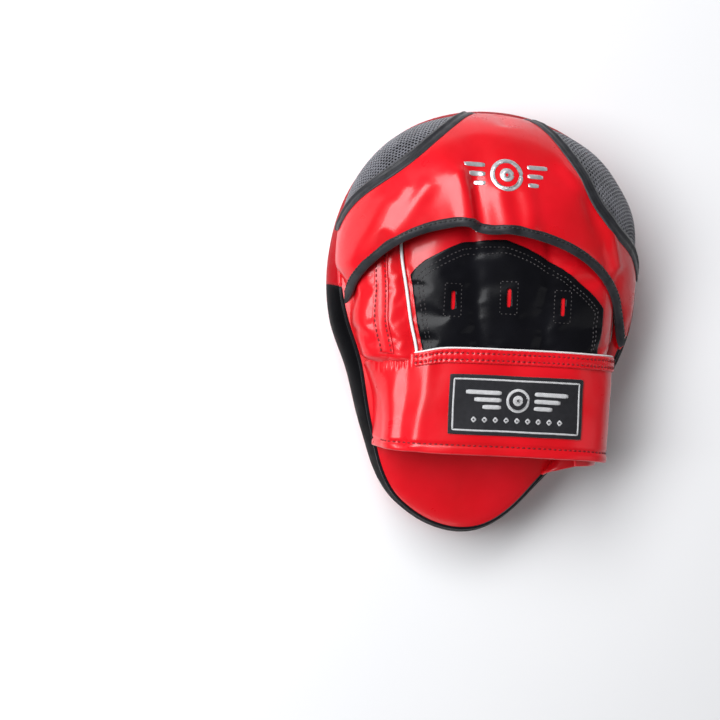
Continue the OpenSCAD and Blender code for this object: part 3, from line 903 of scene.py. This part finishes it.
def finger_height(flat, p):
    """Padding of the finger cover: three lobes with creases between them."""
    height = 1.2 + fold(flat, *CREASE_A, 5.5, -2.4) + fold(flat, *CREASE_B, 5.5, -2.0)
    height = height + fold(flat, (-30, 50), (-27, -5), 12, 1.0) + fold(flat, (6, 55), (8, -5), 12, 1.0)
    height = height + waviness(flat, 24, 0.7)
    return height * smooth_step(p / 0.06) * smooth_step((1 - p) / 0.08)


def bare_finger_points(p, s, extra=0.0):
    flat = finger_surface(p, s)
    return raised(flat, finger_height(flat, p) + extra)


def puff_fingers():
    p, s = even_grid((0, 1), (0, 1), (60, 60))
    points = bare_finger_points(p, s)
    creases = (fold(points, *CREASE_A, 1.6, 1) > 0.4) | (fold(points, *CREASE_B, 1.6, 1) > 0.4)
    return puffed(points, border_of(p.shape) | creases, 3.0, 0.006, 1.8)


finger_puff = puff_fingers()


def finger_points(p, s, extra=0.0):
    return bare_finger_points(p, s, extra) + sample(finger_puff, p, s)


PATCH_P = [0.03, 0.10, 0.172, 0.189, 0.235, 0.30, 0.348, 0.365, 0.42, 0.51, 0.527, 0.62, 0.72]
PATCH_TOP = [26, 34, 40.5, 42, 45.6, 47.4, 48, 48, 44, 35, 33.5, 23, 12]
PATCH_LOW = -17.5
PATCH_WIDTH = 110
SLOTS = [(-28.6, 12.5), (4.3, 15.3), (37.6, 11.7)]
SLOT_SIZE = (2.6, 11)
SLOT_FRAME = (5.0, 9.5)  # half width and half height of the row of stitches round a slot


def box_sides(x, y):
    """The four sides of an upright rectangle with half sizes x and y."""
    corners = [(-x, -y), (x, -y), (x, y), (-x, y), (-x, -y)]
    return list(zip(corners[:-1], corners[1:]))


def patch_params(p, r):
    """p and s on the finger cover for a share r of the way up the patch."""
    y = lerp(PATCH_LOW, np.interp(p, PATCH_P, PATCH_TOP), r)
    return p, (y - POCKET_Y[0]) / (POCKET_Y[1] - POCKET_Y[0])


def slot_outline(x, y):
    """Rounded upright bar, as the outline of an air slot."""
    half_w, half_l = SLOT_SIZE[0] / 2, SLOT_SIZE[1] / 2
    turn = np.linspace(0, np.pi, 7)
    top = np.stack([x + half_w * np.cos(turn), y + half_l - half_w + half_w * np.sin(turn)], -1)
    low = np.stack([x - half_w * np.cos(turn), y - half_l + half_w - half_w * np.sin(turn)], -1)
    return np.concatenate([top, low])


def cut_slots(obj):
    """Cuts the three air slots through the patch."""
    for k, (x, y) in enumerate(SLOTS):
        loop = slot_outline(x, y)
        points = np.concatenate([np.column_stack([loop, np.full(len(loop), z)]) for z in (70, 100)])
        ring = np.arange(len(loop))
        faces = [ring.tolist(), (ring + len(loop)).tolist()]
        faces += quads(np.stack([closed(ring), closed(ring) + len(loop)], 1)).tolist()
        cutter = new_object(f"slot_cutter_{k}", points, faces, MATERIALS["black_thread"])
        cut = obj.modifiers.new("slot", "BOOLEAN")
        cut.object = cutter
        cut.solver = "EXACT"
        apply_modifiers(obj)
        bpy.data.objects.remove(cutter)


def apply_modifiers(obj):
    """Keeps the mesh as its modifiers shape it."""
    graph = bpy.context.evaluated_depsgraph_get()
    shaped = bpy.data.meshes.new_from_object(obj.evaluated_get(graph))
    obj.modifiers.clear()
    old = obj.data
    obj.data = shaped
    bpy.data.meshes.remove(old)
    obj.data.name = obj.name


def drop(tree, points):
    """Places straight below the points of a plan outline on a mesh."""
    return np.array([tree.ray_cast(Vector((x, y, 300)), Vector((0, 0, -1)))[0] for x, y in points])


def build_fingers():
    p, s = even_grid((0, 1), (0, 1), (110, 110))
    points = finger_points(p, s)
    cover = panel("finger_cover", points, 3.0, "red_leather")
    p, s = even_grid((0.05, 0.97), (0.02, 0.85), (40, 36))
    lining = panel("finger_lining", finger_points(p, s, -3.6), 0.8, "red_lining")
    p, r = even_grid((PATCH_P[0], PATCH_P[-1]), (0, 1), (90, 70))
    patch_points = finger_points(*patch_params(p, r), 1.3)
    patch = panel("finger_patch", patch_points, 1.1, "black_leather")
    cut_slots(patch)
    tree = surface_tree(patch)
    rows = []
    for inset in (3.0, 6.0):
        side = inset / PATCH_WIDTH * (PATCH_P[-1] - PATCH_P[0])
        ps = np.linspace(PATCH_P[0] + side, PATCH_P[-1] - side, 60)
        top = 1 - inset * 1.1 / (np.interp(ps, PATCH_P, PATCH_TOP) - PATCH_LOW)
        rows += patch_rows(ps, top, np.linspace(0.02, 1, 30))
    grey = {"slot": "black_leather", "look": "grey_thread"}
    stitches("patch_stitches", rows, tree, **grey, pitch=2.6, length=1.6, radius=0.34)
    frames = []
    for x, y in SLOTS:
        for (x0, y0), (x1, y1) in box_sides(*SLOT_FRAME):
            plan = [(x + lerp(x0, x1, k), y + lerp(y0, y1, k)) for k in np.linspace(0, 1, 12)]
            frames.append(drop(tree, plan))
    stitches("slot_stitches", frames, tree, **grey, pitch=2.2, length=1.3, radius=0.3)
    cover_tree = surface_tree(cover)
    for name, p, s0, s1 in (("piping_crease", 0.282, 0.55, 0.82), ("piping_side", 0.945, 0.06, 0.42)):
        s = np.linspace(s0, s1, 40)
        path, lift = settle(cover_tree, finger_surface(np.full(40, p), s))
        piece(name, tube_mesh(path + lift * 0.4, lift, 0.8, 0.8), "white_piping")


def patch_rows(ps, top, up):
    """One row of stitches up the left side, over the top and down the right side of the patch."""
    lift = np.array([0, 0, 4])
    left = finger_surface(*patch_params(np.full(len(up), ps[0]), up * top[0]))
    over = finger_surface(*patch_params(ps, top))
    right = finger_surface(*patch_params(np.full(len(up), ps[-1]), up[::-1] * top[-1]))
    return [left + lift, over + lift, right + lift]


build_fingers()

# ---- Palm grip ----

GRIP_XY = (8, -22)
GRIP_R = 44
GRIP_H = 12


def dome_rings(extra, reach):
    """Rings of a low round mound, from its middle outwards."""
    turn = np.linspace(0, 2 * np.pi, 96, endpoint=False)
    radius = GRIP_R + extra
    rings = []
    for slant in np.linspace(0.03, reach, 18):
        r = radius * math.sin(slant)
        z = layer_z(0) + GRIP_H + extra - radius * (1 - math.cos(slant))
        x, y = GRIP_XY[0] + r * np.cos(turn), GRIP_XY[1] + r * np.sin(turn)
        rings.append(np.stack([x, y, np.full_like(turn, z)], -1))
    return rings


def build_palm():
    top = dome_rings(0, 0.73)
    base = [ring * np.array([1, 1, 0]) + np.array([0, 0, 50.9]) for ring in top[::-1]]
    piece("palm_grip", lathe_mesh(top + base), "soft_foam")
    cover = piece("palm_cover", lathe_mesh(dome_rings(1.6, 0.76) + dome_rings(0.2, 0.76)[::-1]),
                  "red_lining")


build_palm()

# ---- Hood ----

HOOD_FOLDS = [
    ((-30, 84), (-24.5, 60), 5, 2.0), ((-20.5, 83), (-16.5, 56), 4, -2.4), ((-6, 75), (-1, 57), 5, 1.5),
    ((10, 75), (13, 58), 5, 1.4), ((-88, 31), (-71, 66), 4.5, 1.2), ((-78, 38), (-61, 75), 4.5, 1.2),
    ((-65, 50), (-49, 76), 5, 1.2), ((71, 38), (56, 80), 3.5, 1.4), ((63, 38), (48, 74), 5, -0.9),
    ((42, 84), (34, 92), 4, 0.8),
]


def hood_height(points):
    height = sum(fold(points, *f) for f in HOOD_FOLDS)
    return height + waviness(points, 30, 1.2)


def bare_hood(u, v, extra=0.0):
    """The hood's surface at scattered places, lifted along a normal found from neighbours."""
    e = 0.004
    du = hood_surface(u + e, v) - hood_surface(u - e, v)
    dv = hood_surface(u, v + e) - hood_surface(u, v - e)
    n = unit(np.cross(du, dv))
    n = n * np.sign((n * (hood_surface(u, v) - PAD_CORE)).sum())
    flat = hood_surface(u, v)
    height = hood_height(flat) * smooth_step(v / 0.12) + extra
    return flat + n * np.asarray(height)[..., None], n


def puff_hood():
    u, v = even_grid((0, 1), (0, 1), (70, 24))
    seams = border_of(u.shape)
    for mesh in (MESH_RIGHT, MESH_LEFT):
        seams |= (np.abs(v - seam_v(mesh, u)) < 0.03) & (u > mesh[0]) & (u < mesh[1])
    return puffed(bare_hood(u, v)[0], seams, 2.0, 0.004, 1.1)


hood_puff = puff_hood()


def hood_fine(u, v, extra=0.0):
    points, n = bare_hood(u, v, extra)
    return points + sample(hood_puff, u, v), n


def build_hood_panel():
    u, r = even_grid((0, 1), (0, 1), (190, 70))
    start = np.maximum(seam_v(MESH_RIGHT, u), seam_v(MESH_LEFT, u))
    v = lerp(start, 1.0, r)
    outer, n = hood_fine(u, v)
    inner = outer - n * 1.6
    obj = piece("hood_panel", panel_mesh(outer, inner), "red_leather")
    return surface_tree(obj)


def build_hood_lining():
    u, v = even_grid((0.03, 0.97), (0.06, 0.96), (90, 40))
    outer, n = hood_fine(u, v, -3.0)
    obj = piece("hood_lining", panel_mesh(outer, outer - n * 0.8), "black_lining")


MESH_PITCH = 2.5
ROUNDING_SHIFT = 0.0037  # keeps shared places from rounding two ways
HOLE_SHARE = 0.68
MESH_THICKNESS = 0.55


def hexagons(width, height, pitch):
    """Middles of a honeycomb that covers width by height."""
    rows = np.arange(0, height + pitch, pitch * math.sqrt(3) / 2)
    along = np.arange(0, width + pitch, pitch)
    return [(x + (k % 2) * pitch / 2, y) for k, y in enumerate(rows) for x in along]


def length_of(path):
    return np.linalg.norm(np.diff(path, axis=0), axis=1).sum()


def build_mesh_side(name, mesh):
    """Air mesh with real holes, cut to the side's outline."""
    first, last, top = mesh
    width = length_of(hood_rim(np.linspace(first, last, 60)))
    height = length_of(hood_surface(np.full(60, (first + last) / 2), np.linspace(0, top, 60)))
    corner = np.radians(30 + 60 * np.arange(6))
    outer_r = MESH_PITCH / math.sqrt(3)
    cells = np.array([
        (x, y) for x, y in hexagons(width, height, MESH_PITCH)
        if y / height * top < seam_v(mesh, first + x / width * (last - first)) + 0.03 and 0 < x < width
    ])
    spoke = np.stack([np.cos(corner), np.sin(corner)], -1)
    rim = cells[:, None] + outer_r * spoke
    hole = cells[:, None] + outer_r * HOLE_SHARE * spoke
    flat = np.concatenate([rim, hole], 1).reshape(-1, 2)
    u = first + flat[:, 0] / width * (last - first)
    v = np.clip(flat[:, 1] / height * top, 0.002, 0.99)
    points, n = hood_fine(u, v, -0.4)
    faces = []
    for k in range(len(cells)):
        a = 12 * k
        faces += [[a + i, a + (i + 1) % 6, a + 6 + (i + 1) % 6, a + 6 + i] for i in range(6)]
    count = len(points)
    both = np.concatenate([points, points - n * MESH_THICKNESS])
    middles = (rim + np.roll(rim, -1, 1)).reshape(-1, 2) / 2 + ROUNDING_SHIFT
    _, which, uses = np.unique(np.round(middles, 2), axis=0, return_inverse=True, return_counts=True)
    at_border = (uses[which.ravel()] == 1).reshape(-1, 6)
    walls = []
    for k in range(len(cells)):
        for i in range(6):
            sides = [6] + ([0] if at_border[k, i] else [])
            for start in sides:
                a, b = 12 * k + start + i, 12 * k + start + (i + 1) % 6
                walls.append([a, b, b + count, a + count])
    below = [[v + count for v in f[::-1]] for f in faces]
    obj = piece(name, (both, faces + below + walls), "airmesh")
    merge_corners(obj)
    return obj


def merge_corners(obj):
    """Merges the corners that the mesh's cells share."""
    shaped = bmesh.new()
    shaped.from_mesh(obj.data)
    bmesh.ops.remove_doubles(shaped, verts=shaped.verts, dist=0.02 * MM)
    bmesh.ops.recalc_face_normals(shaped, faces=shaped.faces)
    shaped.to_mesh(obj.data)
    shaped.free()


def build_mesh_binding(name, mesh):
    """Tape over the seam between leather and mesh, with a folded ridge on the mesh side."""
    us = np.linspace(mesh[0] - 0.004, mesh[1] + 0.004, 120)
    seam = seam_v(mesh, us)
    path = hood_surface(us, seam)
    along = unit(np.gradient(path, axis=0))
    _, n = hood_fine(us, seam)
    across = unit(np.cross(n, along))
    across *= np.sign((across * (hood_surface(us, seam + 0.05) - path)).sum())
    reach = np.linspace(-3.6, 3.0, 15)
    lift = 0.9 + 0.9 * bell(reach + 1.9, 1.1) + 0.25 * bell(reach - 1.6, 1.2)
    points = path[:, None] + across[:, None] * reach[None, :, None]
    base = hood_height(path) * smooth_step(seam / 0.12)
    points = points + n[:, None] * (lift[None] + base[:, None])[..., None]
    points = points + sample(hood_puff, us, seam)[:, None]
    piece(name, panel_mesh(points, points - n[:, None] * 1.5), "black_binding")


BINDING_STEPS = 220
HOOD_TAIL = [(-87.2, 5.5, 46), (-87.2, 0.5, 43.8)]  # the binding's last bit, down to the rim


def build_edge_binding():
    us = np.linspace(0, 1, BINDING_STEPS)
    path, n = hood_fine(us, np.full_like(us, 0.985))
    path = path - n * 0.8
    tail = curve([path[-1], *HOOD_TAIL], np.linspace(0, 1, 14))[1:]
    path = np.concatenate([path, tail])
    n = np.concatenate([n, np.repeat(n[-1:], len(tail), 0)])
    at = np.arange(len(path))
    narrow = 1 - 0.35 * smooth_step(1 - at / 12) - 0.5 * smooth_step((at - BINDING_STEPS + 6) / 18)
    body = tube_mesh(path, n, 3.0 * narrow, 1.75 * narrow, 16)
    obj = piece("hood_edge_binding", body, "black_binding")
    us = np.linspace(0.02, 0.98, 200)
    end = hood_surface(us, np.ones(200)) - hood_rim(us)
    back_off = 2.6 * 2 / np.pi / np.linalg.norm(end[:, :2], axis=1)
    row, lift = hood_fine(us, 1 - back_off)
    thread = {"look": "black_thread", "pitch": 2.9, "length": 2.1, "radius": 0.45}
    stitches("hood_edge_stitches", [row + lift], surface_tree(obj), "black_binding", **thread)


panel_tree = build_hood_panel()
build_hood_lining()
mesh_left = build_mesh_side("mesh_left", MESH_LEFT)
mesh_right = build_mesh_side("mesh_right", MESH_RIGHT)
build_mesh_binding("mesh_binding_left", MESH_LEFT)
build_mesh_binding("mesh_binding_right", MESH_RIGHT)
build_edge_binding()

# ---- Wrist strap ----


def bends(obj):
    """Only bakes the piece's place into its mesh. The piece crosses from the sewn cuff to the strap that
    opens.
    """
    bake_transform(obj)


GATHER_PITCH = 2.7
TOP_ROWS = (0.907, 0.972)
STITCH_STEP = 3.0 / 200


def strap_points(p, s, extra=0.0):
    flat = whole_strap(p, s)
    inside = smooth_step(s / 0.05) * smooth_step((1 - s) / 0.05)
    height = waviness(flat, 22, 0.9) * inside
    height = height + fold(flat, (-40, -25), (-46, -72), 4.5, 1.0)
    height = height + fold(flat, (-52, -24), (-55, -72), 4, -0.8)
    height = height - 0.8 * bell(s - 0.075, 0.018)
    gathered = bell(flat[..., 0] + 59, 9) * smooth_step((s - 0.84) / 0.08)
    height = height + 0.35 * gathered * np.sin(flat[..., 0] * 2 * np.pi / GATHER_PITCH)
    return raised(flat, height + extra)


def strap_row(ps, s, height):
    """A line just above the strap's outer face."""
    p, across = np.meshgrid(ps, [s - 0.01, s, s + 0.01], indexing="ij")
    return strap_points(p, across, height)[:, 1]


def build_strap():
    along = np.concatenate([np.linspace(0, 0.25, 90, endpoint=False), np.linspace(0.25, 1, 130)])
    p, s = np.meshgrid(along, np.linspace(0, 1, 72), indexing="ij")
    body = panel("strap", strap_points(p, s), 2.2, "red_leather", body=None)
    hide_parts("cuff_base", "strap_outer")
    tree = surface_tree(body)
    p, s = even_grid((0.04, 0.99), (0.02, 0.93), (110, 40))
    lining = panel("strap_lining", strap_points(p, s, -2.7), 0.8, "red_lining", body=None)
    p, s = even_grid((0.235, 0.985), (0.885, 1.0), (340, 19))
    pulled = sum(bell(s - row, 0.016) for row in TOP_ROWS) * (0.6 + 0.4 * np.cos(p * 2 * np.pi / STITCH_STEP))
    strip_points = strap_points(p, s, 1.4 - 0.5 * pulled)
    strip = panel("strap_edge_strip", strip_points, 1.1, "red_leather", body=None)
    strip_tree = surface_tree(strip)
    ps = np.linspace(0.23, 0.98, 110)
    edge = whole_strap(ps, np.full_like(ps, 1.018))
    lift = np.broadcast_to([0.0, 0, 1], edge.shape)
    white = piece("strap_edge_tape", tube_mesh(edge, lift, 0.6, 0.8), "white_piping", body=None)
    rows = [strap_row(ps, k, 1.6) for k in TOP_ROWS]
    double = stitches("strap_top_stitches", rows, strip_tree, "red_leather", body=None, pitch=3.0, length=2.0)
    hem = [strap_row(np.linspace(0.08, 0.985, 140), 0.075, 0.3)]
    low = stitches("strap_hem_stitches", hem, tree, "red_leather", body=None, pitch=3.2, length=2.2)
    for obj in (body, lining, strip, white, double, low):
        bends(obj)
    return tree


LABEL_X = 12.5
LABEL_S = 0.475
LABEL = (81, 34)
LABEL_BORDER = 2.2
STRAP_WIDTH = 60
THREAD_LIFT = 0.25


def label_spot(x, y, tree):
    """Place on the strap for a place on the label, and its normal."""
    steps = np.linspace(0, 1, 400)
    along = strap_surface(steps, np.full(400, LABEL_S))
    reach = np.concatenate([[0], np.cumsum(np.linalg.norm(np.diff(along, axis=0), axis=1))])
    middle = np.interp(LABEL_X, along[:300, 0], reach[:300])
    p = np.interp(middle + x, reach, steps)
    s = LABEL_S + y / STRAP_WIDTH
    return settle(tree, (strap_surface(p, s) + np.array([0, 0, 3])).reshape(-1, 3))


def build_label(tree):
    xs = np.linspace(-LABEL[0] / 2, LABEL[0] / 2, 70)
    ys = np.linspace(-LABEL[1] / 2, LABEL[1] / 2, 34)
    x, y = np.meshgrid(xs, ys, indexing="ij")
    spots, lift = label_spot(x, y, tree)
    points = (spots + lift * 1.1).reshape(x.shape + (3,))
    label = panel("label_patch", points, 1.0, "label_weave", "strap")
    label_tree = surface_tree(label)
    edge_x, edge_y = LABEL[0] / 2 - LABEL_BORDER, LABEL[1] / 2 - LABEL_BORDER
    decorate_label(label_tree, edge_x, edge_y, tree)


def bar(corners, tree, to_spot, width, lift):
    """A raised line of thread or foil through the corners, laid on the mesh of the tree."""
    flat = np.array(corners, float)
    path = np.concatenate([evenly_2d(a, b) for a, b in zip(flat[:-1], flat[1:])])
    spots, normal = settle(tree, to_spot(path))
    return tube_mesh(spots + normal * lift * 0.4, normal, width / 2, lift, 8)


def evenly_2d(a, b):
    """Points from a to b, about 1.5 mm apart."""
    count = max(2, int(np.linalg.norm(b - a) / 1.5))
    return a + (b - a) * np.linspace(0, 1, count)[:, None]


def joined(meshes):
    """Several meshes as one."""
    points, faces, start = [], [], 0
    for p, f in meshes:
        points.append(np.asarray(p))
        faces += [[v + start for v in face] for face in f]
        start += len(p)
    return np.concatenate(points), faces


def circle(x, y, radius_x, radius_y, count=33):
    turn = np.linspace(0, 2 * np.pi, count)
    return np.stack([x + radius_x * np.cos(turn), y + radius_y * np.sin(turn)], -1)


def target_motif(line, middle, radius, width, bars):
    """A ring round a dot, with bars at both sides as (from, to, height above the middle, width)."""
    x, y = middle
    dot = radius * 0.3
    parts = [line(circle(x, y, radius, radius), width), line(circle(x, y, dot, dot), radius * 0.4)]
    for start, end, up, bar_width in bars:
        parts += [line([(x + side * start, y + up), (x + side * end, y + up)], bar_width) for side in (-1, 1)]
    return parts


def decorate_label(tree, edge_x, edge_y, strap_tree):
    """Woven motif: a frame, a small target between bars, and a row of diamonds."""

    def to_spot(path):
        spots, lift = label_spot(path[:, 0], path[:, 1], strap_tree)
        return spots + lift * 1.1

    def line(corners, width):
        return bar(corners, tree, to_spot, width, THREAD_LIFT)

    parts = [line(side, 1.1) for side in box_sides(edge_x, edge_y)]
    parts += target_motif(line, (0, 3.2), 6.2, 1.7, [(10, 31 - 5 * k, 4.2 - 4.2 * k, 2.6) for k in range(3)])
    for k in range(-4, 5):
        x = 6.5 * k
        parts.append(line([(x - 1.3, -8.4), (x, -7.1), (x + 1.3, -8.4), (x, -9.7), (x - 1.3, -8.4)], 1.0))
    piece("label_motif", joined(parts), "label_weave", "strap", look="silver_thread")


def flap_points(p, s, extra=0.0):
    flat = flap_surface(p, s)
    return raised(flat, waviness(flat, 18, 0.5) + extra)


def build_fastening():
    p, s = even_grid((0.78, 0.975), (0.08, 0.92), (30, 40))
    hook = panel("hook_tape", strap_points(p, s, -3.7), 0.9, "hook_loop", "strap")
    flap = panel("flap", flap_points(*even_grid((0, 1), (0, 1), (60, 50))), 1.8, "red_leather", body=None)
    loop_points = flap_points(*even_grid((0.5, 0.96), (0.1, 0.9), (30, 40)), 1.1)
    loop = panel("loop_tape", loop_points, 0.9, "hook_loop", "flap")
    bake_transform(flap)


strap_tree = build_strap()
build_label(strap_tree)
build_fastening()

# ---- Prints ----

EMBLEM = (-2, 86)
FOIL_LIFT = 0.14
FACE_RINGS = [(37, 29, 2.2), (27, 20, 1.4), (11, 8, 2.6)]


def build_prints():
    """Silver foil: a target between bars on the hood, and rings on the striking face."""

    def on_hood(corners, width):
        return bar(corners, panel_tree, lambda path: drop(panel_tree, path), width, FOIL_LIFT)

    bars = [(12.5, 25 - 3 * k, 5.4 - 5.4 * k, 3.0) for k in range(3)]
    emblem = target_motif(on_hood, EMBLEM, 8.4, 2.8, bars)
    piece("hood_print", joined(emblem), "red_leather", look="silver_foil")
    face_tree = surface_tree(face_skin)

    def from_below(path):
        up = Vector((0, 0, 1))
        return np.array([face_tree.ray_cast(Vector((x, y, -100)), up)[0] for x, y in path])

    shapes = [(circle(0, 0, rx, ry, 60), width) for ry, rx, width in FACE_RINGS]
    rings = [bar(shape, face_tree, from_below, width, FOIL_LIFT) for shape, width in shapes]
    piece("face_print", joined(rings), "red_leather", look="silver_foil")


build_prints()

# ---- Floor and light ----


def build_stage():
    ground = Surface("floor", Specular_IOR_Level=0.2, Emission_Color=(0.96, 0.97, 1.0, 1))
    tone = ground.mixed(ground.noise(300, 2), (0.86, 0.86, 0.87), (0.90, 0.90, 0.90))
    ground.feed("Base Color", tone)
    ground.feed("Roughness", ground.uneven(80, 0.6, 0.75))
    # Painted light: the floor glows more and more from 0.45 m out, so that it fades into the backdrop.
    far = ground.add("ShaderNodeVectorMath", {0: ground.place}, operation="LENGTH").outputs["Value"]
    ground.feed("Emission Strength", ground.ranged(far, 0.45, 1.5, 0.0, 0.80))
    size = 3000
    corners = [(-size, -size, 0), (size, -size, 0), (size, size, 0), (-size, size, 0)]
    floor = new_object("floor", corners, [[0, 1, 2, 3]], ground.material)


def area_light(name, place, aim, width, height, power, colour=(1, 1, 1)):
    data = bpy.data.lights.new(name, "AREA")
    data.shape = "RECTANGLE"
    data.size = width
    data.size_y = height
    data.energy = power
    data.color = colour
    light = bpy.data.objects.new(name, data)
    light.location = place
    light.rotation_euler = (Vector(aim) - Vector(place)).to_track_quat("-Z", "Y").to_euler()
    SCENE.collection.objects.link(light)


def build_lights():
    aim = (0, 0, 0.04)
    area_light("window", (-0.72, 0.40, 1.10), aim, 1.5, 0.60, 29, (0.97, 0.98, 1.0))
    area_light("fill", (1.1, -0.35, 0.75), aim, 0.6, 0.6, 0.7)
    area_light("front", (-0.25, -1.25, 0.60), aim, 0.9, 0.35, 2.2)
    world = bpy.data.worlds.new("world")
    world.use_nodes = True
    nodes = world.node_tree.nodes
    nodes["Background"].inputs["Color"].default_value = (0.95, 0.96, 1.0, 1)
    nodes["Background"].inputs["Strength"].default_value = 0.13
    backdrop = nodes.new("ShaderNodeBackground")
    backdrop.inputs["Color"].default_value = (0.90, 0.91, 0.93, 1)
    choose = nodes.new("ShaderNodeMixShader")
    seen = nodes.new("ShaderNodeLightPath").outputs["Is Camera Ray"]
    for source, target in ((seen, 0), (nodes["Background"].outputs[0], 1), (backdrop.outputs[0], 2)):
        world.node_tree.links.new(source, choose.inputs[target])
    world.node_tree.links.new(choose.outputs[0], nodes["World Output"].inputs["Surface"])
    SCENE.world = world
    SCENE.view_settings.view_transform = "Standard"


build_stage()
build_lights()
